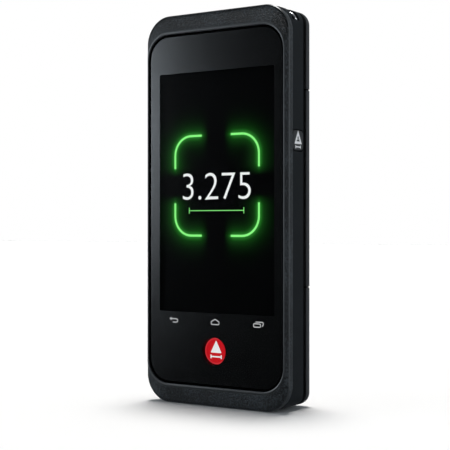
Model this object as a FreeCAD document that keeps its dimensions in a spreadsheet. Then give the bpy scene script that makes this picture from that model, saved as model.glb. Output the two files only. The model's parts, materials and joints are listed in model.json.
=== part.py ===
import FreeCAD, Part
import math
import os
import Sketcher

# A handheld 3-D imager: a phone-shaped case with a glass front, two cameras and a laser
# rangefinder behind its back plates, and a battery under the middle one.
#
# Every sub-part is a body in one local system: across (x) from the centre line to the right,
# depth (y) back from the outer face of the cover glass, and height (z) from mid-height.
# The bodies' placements lift that system onto the base and centre it on the case's depth.

doc = FreeCAD.newDocument("HandheldImager")
sheet = doc.addObject("Spreadsheet::Sheet", "Sizes")

# ---------------------------------------------------------------- driving dimensions, in mm
sizes = {
    # front frame
    "frameWidth": 77.6, "frameHeight": 180.6, "frameCorner": 12.5,
    "bandSide": 1.4, "bandEnd": 8.3, "cornerStep": 0.6, "ridgeRise": 0.6,
    "edgeSetback": 1.5, "frameSide": 3.2, "edgeRound": 0.5, "lipSide": 0.7, "lipEnd": 0.8,
    "slopeSide": 0.4, "slopeEnd": 0.7, "slopeCorner": 0.6, "lipSlopeDepth": 0.9,
    "glassGap": 0.2, "ledgeSide": 1.6, "sealThick": 0.3,
    # glass and display
    "glassThick": 2.2, "maskThick": 0.1, "maskMargin": 0.4, "viewSideBorder": 4.75,
    "viewTopBorder": 17.43, "viewBottomBorder": 32.77,
    "panelMargin": 1.9, "bracketThick": 1.5, "bracketGap": 0.2,
    # measuring key
    "keyDiameter": 12.6, "keyRise": 15.4, "keyClearance": 0.1, "keyFlange": 1.0,
    "keyFlangeThick": 0.6, "keyTravel": 0.4, "domeDiameter": 8.0, "domeHeight": 0.4,
    "domeBoard": 12.0,
    # rear housing
    "frameOverhang": 2.6, "housingTopStep": 0.6, "housingCorner": 6.6, "wall": 2.2,
    "grooveWidth": 2.6, "grooveInset": 1.2, "floorThick": 1.8,
    "bodyDepth": 26.5,
    # back plates
    "plateThick": 5.5, "plateEdge": 0.9, "plateBevel": 0.5, "plateWall": 1.6, "plateRim": 3.0,
    "plateBoss": 5.4, "upperPlate": 35.8, "lowerPlate": 54.7, "seamGap": 0.6,
    # battery and its bay
    "bayInset": 7.0, "bayMargin": 4.75, "bayWall": 1.5, "bayGap": 0.3, "bayFloorThick": 1.2,
    "batterySeat": 0.2, "batteryLidGap": 0.6, "batteryPlay": 0.5, "batteryCorner": 3.0,
    "contactWidth": 14.0, "contactRoom": 5.0, "contactThick": 4.0, "sealGroove": 1.2,
    "sealInset": 1.6, "sealDepth": 0.6,
    # boards behind the bracket
    "spreaderThick": 0.2, "canHeight": 1.8, "canMargin": 3.0, "canGap": 4.0,
    "canSplit": 28.0, "canCorner": 1.0, "boardThick": 1.0, "boardInset": 6.0,
    # bosses and screws
    "bossDiameter": 4.4, "bossSideInset": 4.5, "bossTopInset": 6.5, "bossBottomInset": 7.1,
    "sideBossInset": 3.0, "sideBossUp": 5.0, "screwDiameter": 2.0, "screwHead": 3.8,
    "headThick": 1.0, "screwGrip": 6.0, "fitGap": 0.05,
    # optical bench and cameras
    "boardGap": 0.4, "benchThick": 2.0, "benchWidth": 16.0, "cameraSideInset": 18.0,
    "cameraTopInset": 17.5, "cameraBottomInset": 26.1, "sensorBoard": 15.0, "sensorThick": 1.0,
    "barrelDiameter": 13.0, "barrelGap": 2.9, "lensDiameter": 10.0, "lensThick": 2.2,
    "barrelWall": 1.0, "crossBarHeight": 26.5, "crossBarInset": 5.0, "crossBarGap": 0.4,
    "benchBossInset": 2.3, "benchSpineInset": 12.1,
    "windowThick": 0.8, "windowDrop": 0.4, "windowLedge": 0.9,
    # rangefinder
    "finderSideInset": 23.0, "finderTopInset": 19.5, "finderWidth": 26.0, "finderHeight": 19.0,
    "finderShift": 3.0, "chassisThick": 5.0, "tubeProud": 2.0, "tubeStop": 0.8,
    "tubeDiameter": 16.0, "receiverDiameter": 13.0, "receiverThick": 2.6,
    "laserSideInset": 10.8, "holeClearance": 0.4, "laserDiameter": 5.0, "laserLens": 3.4,
    "laserLensThick": 1.2, "laserLensDrop": 0.2,
    # flash
    "flashAcross": 3.0, "flashTopInset": 6.5, "flashBoard": 7.0, "flashLens": 5.6,
    # side key
    "sideKeyMargin": 0.4, "sideKeyWidth": 9.3, "sideKeyUp": 30.35, "sideKeyHeight": 8.9,
    "sideKeyCorner": 2.0, "sideKeyProud": 0.2, "sideKeyRelief": 0.5, "keySlack": 0.15,
    "sideTravel": 0.5, "stopFlange": 0.8, "flangeThick": 0.8, "keyBoardThick": 0.6, "sideDome": 6.0,
    "ribThick": 1.4,
    # power key
    "powerAcross": 8.0, "powerDepth": 12.5, "powerWidth": 16.0, "powerThick": 4.4,
    "powerProud": 0.4, "powerDome": 3.4,
    # strap bar
    "strapDepth": 12.0, "strapDiameter": 1.2, "strapPocket": 6.0, "strapReach": 5.6,
    "strapBlock": 8.2, "strapTurn": 110,
    # charging port
    "portDepth": 11.3, "portDown": 50.0, "portLength": 9.0, "portThick": 3.3, "portBody": 7.4,
    "portShell": 0.3, "portCap": 1.0, "tongueThick": 0.7, "tongueWidth": 6.3, "tongueDrop": 0.8,
    "flapLength": 13.0, "flapWidth": 9.6, "flapThick": 1.2, "flapPlay": 0.2, "pinDiameter": 0.7,
    "pinGrip": 1.4, "portBoardWidth": 9.0, "portBoardHeight": 15.0,
    # speaker, microphone and antenna
    "speakerSideInset": 19.0, "speakerInset": 12.1, "speakerWidth": 20.0, "speakerHeight": 14.0,
    "speakerThick": 4.6, "ventDiameter": 1.3, "ventPitch": 2.8, "ventCount": 5,
    "micWidth": 4.0, "micThick": 1.6, "micAcross": 4.0, "antennaWidth": 20.0,
    "antennaAcross": 14.0, "antennaThick": 6.0, "antennaHeight": 3.6,
}
for row, (alias, number) in enumerate(sizes.items(), start=1):
    sheet.set(f"A{row}", alias)
    sheet.set(f"B{row}", str(number))
    sheet.setAlias(f"B{row}", alias)
doc.recompute()


class Measure:
    # A length that knows its number and the sheet expression that gives it.
    def __init__(self, text, number):
        self.text = text
        self.number = number

    def joined(self, sign, other, number):
        return Measure(f"({self.text} {sign} {measure(other).text})", number)

    def __add__(self, other):
        return self.joined("+", other, self.number + measure(other).number)

    def __sub__(self, other):
        return self.joined("-", other, self.number - measure(other).number)

    def __mul__(self, factor):
        return self.joined("*", factor, self.number * factor)

    def __truediv__(self, divisor):
        return self.joined("/", divisor, self.number / divisor)

    def __neg__(self):
        return Measure(f"(0 - {self.text})", -self.number)


def measure(given):
    if isinstance(given, Measure):
        return given
    return Measure(str(given), float(given))


class Named:
    # The sheet's sizes by name: size.glassWidth and so on.
    def __init__(self, numbers):
        for name, value in numbers.items():
            setattr(self, name, Measure("Sizes." + name, value))


size = Named(sizes)


def bind(item, field, value):
    item.setExpression(field, measure(value).text)


# ---------------------------------------------------------------- profiles
def line(a, b):
    return Part.LineSegment(FreeCAD.Vector(*a, 0), FreeCAD.Vector(*b, 0))


def arc(centre, radius, start):
    circle = Part.Circle(FreeCAD.Vector(*centre, 0), FreeCAD.Vector(0, 0, 1), radius)
    return Part.ArcOfCircle(circle, math.radians(start), math.radians(start + 90))


def named(sketch, name, constraint, value):
    sketch.renameConstraint(sketch.addConstraint(constraint), name)
    bind(sketch, "Constraints." + name, value)


def rounded(width, height, corner):
    # A rectangle with four equal round corners, centred on the sketch's origin.
    width, height, corner = measure(width), measure(height), measure(corner)

    def draw(sketch):
        x, y, r = width.number / 2, height.number / 2, corner.number
        first = sketch.GeometryCount
        sketch.addGeometry([
            line((r - x, y), (x - r, y)), arc((x - r, y - r), r, 0),
            line((x, y - r), (x, r - y)), arc((x - r, r - y), r, 270),
            line((x - r, -y), (r - x, -y)), arc((r - x, r - y), r, 180),
            line((-x, r - y), (-x, y - r)), arc((r - x, y - r), r, 90)], False)
        top, right, bottom, left = first, first + 2, first + 4, first + 6
        corners = [first + 1, first + 3, first + 5, first + 7]
        joins = [(top, 2, corners[0], 2), (corners[0], 1, right, 1),
                 (right, 2, corners[1], 2), (corners[1], 1, bottom, 1),
                 (bottom, 2, corners[2], 2), (corners[2], 1, left, 1),
                 (left, 2, corners[3], 2), (corners[3], 1, top, 1)]
        for join in joins:
            sketch.addConstraint(Sketcher.Constraint("Tangent", *join))
        for side in (top, bottom):
            sketch.addConstraint(Sketcher.Constraint("Horizontal", side))
        for side in (left, right):
            sketch.addConstraint(Sketcher.Constraint("Vertical", side))
        for other in corners[1:]:
            sketch.addConstraint(Sketcher.Constraint("Equal", corners[0], other))
        centred = Sketcher.Constraint("Symmetric", corners[0], 3, corners[2], 3, -1, 1)
        sketch.addConstraint(centred)
        radius = Sketcher.Constraint("Radius", corners[0], r)
        across = Sketcher.Constraint("DistanceX", left, 1, right, 1, 2 * x)
        upward = Sketcher.Constraint("DistanceY", bottom, 1, top, 1, 2 * y)
        named(sketch, f"corner{first}", radius, corner)
        named(sketch, f"width{first}", across, width)
        named(sketch, f"height{first}", upward, height)
    return draw


def rectangle(width, height):
    # A plain rectangle centred on the sketch's origin.
    width, height = measure(width), measure(height)

    def draw(sketch):
        x, y = width.number / 2, height.number / 2
        first = sketch.GeometryCount
        corners = [(-x, -y), (x, -y), (x, y), (-x, y)]
        sides = [line(corners[i], corners[(i + 1) % 4]) for i in range(4)]
        sketch.addGeometry(sides, False)
        for i in range(4):
            joint = Sketcher.Constraint("Coincident", first + i, 2, first + (i + 1) % 4, 1)
            sketch.addConstraint(joint)
            level = "Horizontal" if i % 2 == 0 else "Vertical"
            sketch.addConstraint(Sketcher.Constraint(level, first + i))
        sketch.addConstraint(Sketcher.Constraint("Symmetric", first, 1, first + 2, 1, -1, 1))
        across = Sketcher.Constraint("DistanceX", first, 1, first, 2, 2 * x)
        upward = Sketcher.Constraint("DistanceY", first + 1, 1, first + 1, 2, 2 * y)
        named(sketch, f"width{first}", across, width)
        named(sketch, f"height{first}", upward, height)
    return draw


def discs(diameter, spots=((0, 0),)):
    # Equal circles, each centred on its spot.
    diameter = measure(diameter)

    def draw(sketch):
        for number, (x, y) in enumerate(spots):
            centre = FreeCAD.Vector(measure(x).number, measure(y).number, 0)
            circle = Part.Circle(centre, FreeCAD.Vector(0, 0, 1), diameter.number / 2)
            place = sketch.addGeometry(circle, False)
            width = Sketcher.Constraint("Diameter", place, diameter.number)
            named(sketch, f"diameter{number}", width, diameter)
            for kind, axis, value in (("DistanceX", -2, x), ("DistanceY", -1, y)):
                if measure(value).number == 0:
                    onAxis = Sketcher.Constraint("PointOnObject", place, 3, axis)
                    sketch.addConstraint(onAxis)
                    continue
                reach = Sketcher.Constraint(kind, -1, 1, place, 3, measure(value).number)
                named(sketch, f"{kind}{number}", reach, value)
    return draw


# ---------------------------------------------------------------- bodies
glassFace = size.ridgeRise - (size.ridgeRise + size.bodyDepth) / 2
pieces = []


class Piece:
    # One sub-part: a body whose pads and cuts start at a level of its plane's axis and always
    # run the positive way: "XZ" for depth, "YZ" for across and "XY" for height.
    def __init__(self, label):
        self.body = doc.addObject("PartDesign::Body", label)
        self.body.Label = label
        if hasattr(self.body, "AllowCompound"):
            self.body.AllowCompound = True
        bind(self.body, "Placement.Base.y", glassFace)
        bind(self.body, "Placement.Base.z", size.frameHeight / 2)
        pieces.append(self.body)

    def sketch(self, profiles, level, x, y, plane):
        drawing = self.body.newObject("Sketcher::SketchObject", self.body.Label + "_sketch")
        origin = [item for item in self.body.Origin.OriginFeatures if item.Role == plane + "_Plane"]
        drawing.AttachmentSupport = [(origin[0], "")]
        drawing.MapMode = "FlatFace"
        bind(drawing, "AttachmentOffset.Base.x", x)
        bind(drawing, "AttachmentOffset.Base.y", y)
        bind(drawing, "AttachmentOffset.Base.z", -measure(level) if plane == "XZ" else level)
        for profile in profiles if isinstance(profiles, list) else [profiles]:
            profile(drawing)
        drawing.Visibility = False
        return drawing

    def extrude(self, kind, profiles, level, length, x, y, plane, turned):
        drawing = self.sketch(profiles, level, x, y, plane)
        feature = self.body.newObject("PartDesign::" + kind, f"{self.body.Label}_{kind}")
        feature.Profile = drawing
        feature.Reversed = turned
        bind(feature, "Length", length)
        return feature

    def pad(self, profiles, level, length, x=0, y=0, plane="XZ"):
        return self.extrude("Pad", profiles, level, length, x, y, plane, plane == "XZ")

    def cut(self, profiles, level, length, x=0, y=0, plane="XZ"):
        return self.extrude("Pocket", profiles, level, length, x, y, plane, plane != "XZ")

    def loft(self, kind, near, nearLevel, far, farLevel):
        feature = self.body.newObject("PartDesign::" + kind, f"{self.body.Label}_{kind}")
        feature.Profile = self.sketch(near, nearLevel, 0, 0, "XZ")
        feature.Sections = [self.sketch(far, farLevel, 0, 0, "XZ")]
        feature.Ruled = True
        return feature

    def round(self, kind, radius, chosen):
        # Fillets or chamfers the edges of the body so far for which chosen(edge) holds.
        doc.recompute()
        base = self.body.Tip
        names = [f"Edge{i}" for i, edge in enumerate(base.Shape.Edges, 1) if chosen(edge)]
        feature = self.body.newObject("PartDesign::" + kind, f"{self.body.Label}_{kind}")
        feature.Base = (base, names)
        bind(feature, "Radius" if kind == "Fillet" else "Size", radius)
        return feature


def atDepth(level):
    # Edges that lie wholly at one depth of a body's own system.
    def chosen(edge):
        box = edge.BoundBox
        return abs(box.YMin - level.number) < 1e-4 and abs(box.YMax - level.number) < 1e-4
    return chosen


def farAcross(level):
    # Edges that lie wholly at one distance to the right.
    def chosen(edge):
        box = edge.BoundBox
        return abs(box.XMin - level.number) < 1e-4 and abs(box.XMax - level.number) < 1e-4
    return chosen


# ---------------------------------------------------------------- levels that pieces share
frameBack = size.edgeSetback + size.frameSide
ridgeWidth = size.frameWidth - size.bandSide * 2
ridgeHeight = size.frameHeight - size.bandEnd * 2
ridgeCorner = size.frameCorner - size.cornerStep
mouthWidth = ridgeWidth - size.lipSide * 2
mouthHeight = ridgeHeight - size.lipEnd * 2
mouthCorner = ridgeCorner - size.lipSide
openingWidth = mouthWidth - size.slopeSide * 2
openingHeight = mouthHeight - size.slopeEnd * 2
openingCorner = mouthCorner - size.slopeCorner
glassWidth = openingWidth - size.glassGap * 2
glassHeight = openingHeight - size.glassGap * 2
glassCorner = openingCorner - size.glassGap
ledgeFront = size.glassThick + size.sealThick
viewWidth = glassWidth - size.viewSideBorder * 2
viewHeight = glassHeight - size.viewTopBorder - size.viewBottomBorder
viewRise = (size.viewBottomBorder - size.viewTopBorder) / 2
keyDrop = glassHeight / 2 - size.keyRise
panelFront = size.glassThick + size.maskThick
bracketFront = frameBack
bracketBack = bracketFront + size.bracketThick
ledgeWidth = openingWidth - size.ledgeSide * 2
ledgeHeight = openingHeight - size.ledgeSide * 2
ledgeCorner = openingCorner - size.ledgeSide
housingBack = size.bodyDepth - size.plateThick
grooveStart = housingBack - size.grooveWidth
housingHeight = size.frameHeight - size.housingTopStep
housingCentre = -size.housingTopStep / 2
housingTop = size.frameHeight / 2 - size.housingTopStep
housingWidth = size.frameWidth - size.frameOverhang * 2
housingSide = housingWidth / 2
innerTop = housingTop - size.wall
innerBottom = size.wall - size.frameHeight / 2
innerWidth = housingWidth - size.wall * 2
innerSide = innerWidth / 2
innerHeight = housingHeight - size.wall * 2
innerCorner = size.housingCorner - size.wall
floorFront = housingBack - size.floorThick
floorWidth = housingWidth - size.grooveInset * 2
floorHeight = housingHeight - size.grooveInset * 2
plateInside = size.bodyDepth - size.plateWall
boardFront = bracketBack + size.spreaderThick + size.canHeight
benchFront = boardFront + size.boardThick + size.boardGap
benchBack = benchFront + size.benchThick
sensorBack = benchBack + size.sensorThick
upperSeam = housingTop - size.upperPlate
lowerSeam = size.lowerPlate - size.frameHeight / 2
bayCentre = (upperSeam + lowerSeam) / 2
bayWidth = innerWidth - size.bayInset * 2
bayHeight = upperSeam - lowerSeam - size.bayMargin * 2
bayFloor = benchBack + size.bayGap + size.bayFloorThick
boardWidth = innerWidth - size.boardInset * 2
pilot = size.screwDiameter + size.fitGap * 2
keyBack = size.glassThick + size.fitGap
plateFillet = size.plateThick - size.plateEdge
cameraAcross = innerSide - size.cameraSideInset
finderAcross = innerSide - size.finderSideInset
laserAcross = innerSide - size.laserSideInset
speakerAcross = innerSide - size.speakerSideInset
sideKeyDepth = grooveStart - size.sideKeyMargin - size.sideKeyWidth / 2
cameraWindow = size.lensDiameter + size.barrelWall
windowFront = size.bodyDepth - size.windowDrop - size.windowThick
cameraSpots = {"upper": innerTop - size.cameraTopInset,
               "lower": innerBottom + size.cameraBottomInset}
finderUp = innerTop - size.finderTopInset
flashUp = innerTop - size.flashTopInset
speakerUp = innerBottom + size.speakerInset
bossAcross = innerSide - size.bossSideInset
bossUpper = innerTop - size.bossTopInset
bossLower = innerBottom + size.bossBottomInset
corners = [(bossAcross, bossUpper), (-bossAcross, bossUpper),
           (bossAcross, bossLower), (-bossAcross, bossLower)]
sideBossAcross = innerSide - size.sideBossInset
bracketSpots = corners + [(sideBossAcross, size.sideBossUp), (-sideBossAcross, size.sideBossUp)]
spineLeft = -cameraAcross - size.benchWidth / 2
crossBarTop = innerTop - size.crossBarInset
crossBarRight = innerSide - size.strapBlock - size.crossBarGap
spineBoss = innerBottom + size.benchSpineInset
benchSpots = [(spineLeft + size.benchBossInset, crossBarTop - size.benchBossInset),
              (crossBarRight - size.benchBossInset, crossBarTop - size.benchBossInset),
              (-cameraAcross, spineBoss)]


# ---------------------------------------------------------------- front
def makeFrontFrame():
    piece = Piece("front_frame")
    edge = rounded(size.frameWidth, size.frameHeight, size.frameCorner)
    ridge = rounded(ridgeWidth, ridgeHeight, ridgeCorner)
    piece.pad(edge, size.edgeSetback, size.frameSide)
    piece.loft("AdditiveLoft", ridge, -size.ridgeRise, edge, size.edgeSetback)
    piece.round("Fillet", size.edgeRound, atDepth(size.edgeSetback))
    mouth = rounded(mouthWidth, mouthHeight, mouthCorner)
    opening = rounded(openingWidth, openingHeight, openingCorner)
    slopeEnd = size.lipSlopeDepth - size.ridgeRise
    piece.loft("SubtractiveLoft", mouth, -size.ridgeRise, opening, slopeEnd)
    piece.cut(opening, slopeEnd, ledgeFront - slopeEnd)
    piece.cut(rounded(ledgeWidth, ledgeHeight, ledgeCorner), ledgeFront, frameBack - ledgeFront)


def makeGlass():
    seal = Piece("frame_seal")
    seal.pad([rounded(glassWidth, glassHeight, glassCorner),
              rounded(ledgeWidth, ledgeHeight, ledgeCorner)], size.glassThick, size.sealThick)
    glass = Piece("cover_glass")
    glass.pad(rounded(glassWidth, glassHeight, glassCorner), 0, size.glassThick)
    hole = discs(size.keyDiameter + size.keyClearance * 2)
    glass.cut(hole, 0, size.glassThick, y=-keyDrop)
    mask = Piece("border_mask")
    trim = size.maskMargin * 2
    outline = rounded(ledgeWidth - trim, ledgeHeight - trim, ledgeCorner - size.maskMargin)
    mask.pad(outline, size.glassThick, size.maskThick)
    mask.cut(rectangle(viewWidth, viewHeight), size.glassThick, size.maskThick,
             y=viewRise)
    around = discs(size.keyDiameter + size.keyFlange * 2 + size.maskMargin)
    mask.cut(around, size.glassThick, size.maskThick, y=-keyDrop)


def makeDisplay():
    panel = Piece("display_panel")
    border = size.panelMargin * 2
    outline = rectangle(viewWidth + border, viewHeight + border)
    panel.pad(outline, panelFront, bracketFront - panelFront, y=viewRise)
    bracket = Piece("display_bracket")
    play = size.bracketGap * 2
    plate = rounded(innerWidth - play, innerHeight - play, innerCorner - size.bracketGap)
    bracket.pad(plate, bracketFront, size.bracketThick, y=housingCentre)
    bracket.cut(discs(pilot, bracketSpots), bracketFront, size.bracketThick)
    heads = discs(size.screwHead + size.fitGap * 2, bracketSpots)
    bracket.cut(heads, bracketFront, size.headThick + size.fitGap)
    makeScrews("bracket_screws", bracketSpots, bracketFront + size.fitGap, size.screwGrip)


def makeScrews(label, spots, headFront, grip):
    # Pan heads at the front of each spot with shanks running back into the bosses.
    screws = Piece(label)
    screws.pad(discs(size.screwHead, spots), headFront, size.headThick)
    screws.pad(discs(size.screwDiameter, spots), headFront + size.headThick, grip)
    slot = size.screwDiameter / 2
    screws.cut(discs(slot, spots), headFront, size.headThick / 2)


def makeMeasuringKey():
    cap = Piece("measure_key_cap")
    cap.pad(discs(size.keyDiameter), 0, size.glassThick, y=-keyDrop)
    insert = Piece("measure_key_insert")
    insert.pad(discs(size.keyDiameter + size.keyFlange * 2), keyBack, size.keyFlangeThick,
               y=-keyDrop)
    insert.pad(discs(size.keyDiameter), size.glassThick, size.fitGap, y=-keyDrop)
    board = Piece("measure_key_board")
    domeFront = keyBack + size.keyFlangeThick + size.keyTravel + size.fitGap
    boardFace = domeFront + size.domeHeight
    board.pad(discs(size.domeBoard), boardFace, bracketFront - boardFace, y=-keyDrop)
    dome = Piece("measure_key_dome")
    dome.pad(discs(size.domeDiameter), domeFront, size.domeHeight, y=-keyDrop)


# ---------------------------------------------------------------- rear housing
def makeHousing():
    piece = Piece("rear_housing")
    outline = rounded(housingWidth, housingHeight, size.housingCorner)
    piece.pad(outline, frameBack, grooveStart - frameBack, y=housingCentre)
    neck = rounded(floorWidth, floorHeight, size.housingCorner - size.grooveInset)
    piece.pad(neck, grooveStart, housingBack - grooveStart, y=housingCentre)
    cavity = rounded(innerWidth, innerHeight, innerCorner)
    piece.cut(cavity, frameBack, floorFront - frameBack, y=housingCentre)
    addBay(piece)
    addBosses(piece)
    addStrapCorner(piece)
    addSideKeyOpening(piece)
    addPowerKeyOpening(piece)
    addPortOpening(piece)
    addLensHoles(piece)


def addBay(piece):
    # The battery bay: a tray let into the floor, open at the back.
    shell = size.bayWall * 2
    trayFront = bayFloor - size.bayFloorThick
    tray = rectangle(bayWidth + shell, bayHeight + shell)
    piece.pad(tray, trayFront, floorFront - trayFront, y=bayCentre)
    piece.cut(rectangle(bayWidth, bayHeight), bayFloor,
              housingBack - bayFloor, y=bayCentre)
    piece.cut(sealRing(0), housingBack - size.sealDepth, size.sealDepth, y=bayCentre)


def sealRing(play):
    # The channel round the bay, or the cord in it with some play each side.
    inner = size.sealInset * 2 + play * 2
    outer = inner + size.sealGroove * 2 - play * 4
    corner = size.sealInset
    return [rounded(bayWidth + outer, bayHeight + outer, corner + size.sealGroove),
            rounded(bayWidth + inner, bayHeight + inner, corner)]


def addBosses(piece):
    tall = floorFront - bracketBack
    piece.pad(discs(size.bossDiameter, bracketSpots), bracketBack, tall)
    piece.pad(discs(size.bossDiameter, benchSpots), benchBack, floorFront - benchBack)
    block = size.strapBlock
    piece.pad(rectangle(block, block), bracketBack, tall, x=innerSide - block / 2,
              y=innerTop - block / 2)
    reach = size.screwGrip + size.fitGap
    piece.cut(discs(pilot, bracketSpots), bracketBack, reach)
    piece.cut(discs(pilot, benchSpots), benchBack, size.screwGrip - size.benchThick
              + size.fitGap)
    piece.cut(discs(pilot, corners), housingBack - size.screwGrip,
              size.screwGrip)


def addStrapCorner(piece):
    # A notch across the upper right corner, which the strap bar bridges.
    reach = size.strapReach * 2
    half = size.strapPocket / 2
    piece.cut(rectangle(reach, reach), size.strapDepth - half, size.strapPocket,
              x=housingSide, y=housingTop)


def addSideKeyOpening(piece):
    mouth = rounded(size.sideKeyWidth + size.keySlack * 2,
                    size.sideKeyHeight + size.sideKeyRelief * 2, size.sideKeyCorner)
    piece.cut(mouth, innerSide, size.wall, x=sideKeyDepth, y=size.sideKeyUp, plane="YZ")
    boardBack = sideBoardInner()
    rib = rectangle(floorFront - sideKeyDepth + size.sideKeyWidth / 2, size.sideKeyHeight)
    middle = (floorFront + sideKeyDepth - size.sideKeyWidth / 2) / 2
    piece.pad(rib, boardBack - size.ribThick, size.ribThick, x=middle, y=size.sideKeyUp,
              plane="YZ")


def sideBoardInner():
    # Inner face of the side key's board: flange, travel, dome and board in from the wall.
    stack = size.fitGap * 2 + size.flangeThick + size.sideTravel + size.domeHeight
    return innerSide - stack - size.keyBoardThick


def powerBoardUnder():
    # Underside of the power key's board, the same stack down from the top wall.
    stack = size.fitGap * 2 + size.flangeThick + size.sideTravel + size.domeHeight
    return innerTop - stack - size.keyBoardThick


def addPowerKeyOpening(piece):
    mouth = rounded(size.powerWidth + size.keySlack * 2, size.powerThick + size.keySlack * 2,
                    size.powerThick / 2)
    piece.cut(mouth, innerTop, size.wall, x=size.powerAcross, y=size.powerDepth,
              plane="XY")
    under = powerBoardUnder()
    ribDepth = floorFront - size.powerDepth + size.powerThick / 2
    middle = (floorFront + size.powerDepth - size.powerThick / 2) / 2
    piece.pad(rectangle(size.powerWidth, ribDepth), under - size.ribThick, size.ribThick,
              x=size.powerAcross, y=middle, plane="XY")


def addPortOpening(piece):
    # The flap's recess, the port's slot and the hinge pin's two sockets, in the left wall.
    side = -housingSide
    recess = size.flapThick + size.flapPlay
    seat = rectangle(size.flapWidth + size.flapPlay * 2, size.flapLength + size.flapPlay * 2)
    piece.cut(seat, side, recess, x=size.portDepth, y=-size.portDown, plane="YZ")
    slot = rounded(size.portThick + size.fitGap * 2, size.portLength + size.fitGap * 2,
                   size.portThick / 2)
    piece.cut(slot, side, size.wall, x=size.portDepth, y=-size.portDown, plane="YZ")
    pinLength = size.flapLength + size.pinGrip * 2
    piece.cut(discs(size.pinDiameter), -size.portDown - pinLength / 2, pinLength,
              x=pinAcross(), y=pinDepth(), plane="XY")
    post = size.bossDiameter
    boardBack = size.portDepth + size.portThick / 2 + size.boardThick
    offset = size.portBoardHeight / 2 - post / 2
    spots = [(portBoardAcross(), -size.portDown + offset),
             (portBoardAcross(), -size.portDown - offset)]
    piece.pad(discs(post, spots), boardBack, floorFront - boardBack)


def pinAcross():
    return size.flapThick / 2 - housingSide


def pinDepth():
    return size.portDepth - size.flapWidth / 2 + size.flapThick / 2


def portBoardAcross():
    return size.portBoardWidth / 2 - innerSide


def addLensHoles(piece):
    # Clearance through the floor for the lens barrels, laser, flash wires and speaker.
    for up in cameraSpots.values():
        hole = discs(size.barrelDiameter + size.holeClearance * 2)
        piece.cut(hole, floorFront, size.floorThick, x=-cameraAcross, y=up)
    for across, diameter in ((finderAcross, size.tubeDiameter),
                             (laserAcross, size.laserDiameter)):
        hole = discs(diameter + size.holeClearance * 2)
        piece.cut(hole, floorFront, size.floorThick, x=across, y=finderUp)
    piece.cut(vents(), floorFront, size.floorThick)


def vents():
    # A row of sound holes behind the speaker.
    count = int(size.ventCount.number)
    spots = [(speakerAcross + size.ventPitch * (i - (count - 1) / 2), speakerUp)
             for i in range(count)]
    return discs(size.ventDiameter, spots)


# ---------------------------------------------------------------- keys, strap bar and port
def makeStrapBar():
    # A polished bar bent round the corner, its ends sunk in the housing either side.
    body = Piece("strap_bar")
    radius = size.housingCorner - size.strapDiameter / 2
    ring = body.body.newObject("PartDesign::Revolution", "strap_bar_Revolution")
    drawing = body.body.newObject("Sketcher::SketchObject", "strap_bar_sketch")
    plane = [item for item in body.body.Origin.OriginFeatures if item.Role == "YZ_Plane"]
    drawing.AttachmentSupport = [(plane[0], "")]
    drawing.MapMode = "FlatFace"
    bind(drawing, "AttachmentOffset.Base.x", size.strapDepth)
    bind(drawing, "AttachmentOffset.Base.y", housingTop - size.housingCorner)
    bind(drawing, "AttachmentOffset.Base.z", housingSide - size.housingCorner)
    discs(size.strapDiameter, [(0, radius)])(drawing)
    ring.Profile = drawing
    ring.ReferenceAxis = (drawing, ["H_Axis"])
    bind(ring, "Angle", size.strapTurn)
    return ring


def makeSideKey():
    key = Piece("side_key")
    face = rounded(size.sideKeyWidth, size.sideKeyHeight, size.sideKeyCorner)
    flange = rounded(size.sideKeyWidth + size.stopFlange * 2,
                     size.sideKeyHeight + size.stopFlange * 2 + size.sideKeyRelief,
                     size.sideKeyCorner)
    flangeOuter = innerSide - size.fitGap
    place = {"x": sideKeyDepth, "y": size.sideKeyUp, "plane": "YZ"}
    key.pad(face, flangeOuter, size.wall + size.fitGap + size.sideKeyProud, **place)
    key.pad(flange, flangeOuter - size.flangeThick, size.flangeThick, **place)
    key.round("Chamfer", size.sideKeyProud, farAcross(housingSide + size.sideKeyProud))
    board = Piece("side_key_board")
    boardInner = sideBoardInner()
    card = rectangle(size.sideKeyWidth, size.sideKeyHeight)
    board.pad(card, boardInner, size.keyBoardThick, **place)
    dome = Piece("side_key_dome")
    dome.pad(discs(size.sideDome), boardInner + size.keyBoardThick,
             size.domeHeight, **place)


def makePowerKey():
    key = Piece("power_key")
    top = innerTop - size.fitGap
    place = {"x": size.powerAcross, "y": size.powerDepth, "plane": "XY"}
    face = rounded(size.powerWidth, size.powerThick, size.powerThick / 2 - size.fitGap)
    wide = rounded(size.powerWidth + size.stopFlange * 2, size.powerThick + size.stopFlange * 2,
                   size.powerThick / 2)
    key.pad(face, top, size.wall + size.fitGap + size.powerProud, **place)
    key.pad(wide, top - size.flangeThick, size.flangeThick, **place)
    board = Piece("power_key_board")
    under = powerBoardUnder()
    board.pad(rectangle(size.powerWidth, size.powerThick), under, size.keyBoardThick, **place)
    dome = Piece("power_key_dome")
    dome.pad(discs(size.powerDome), under + size.keyBoardThick, size.domeHeight, **place)


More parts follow.
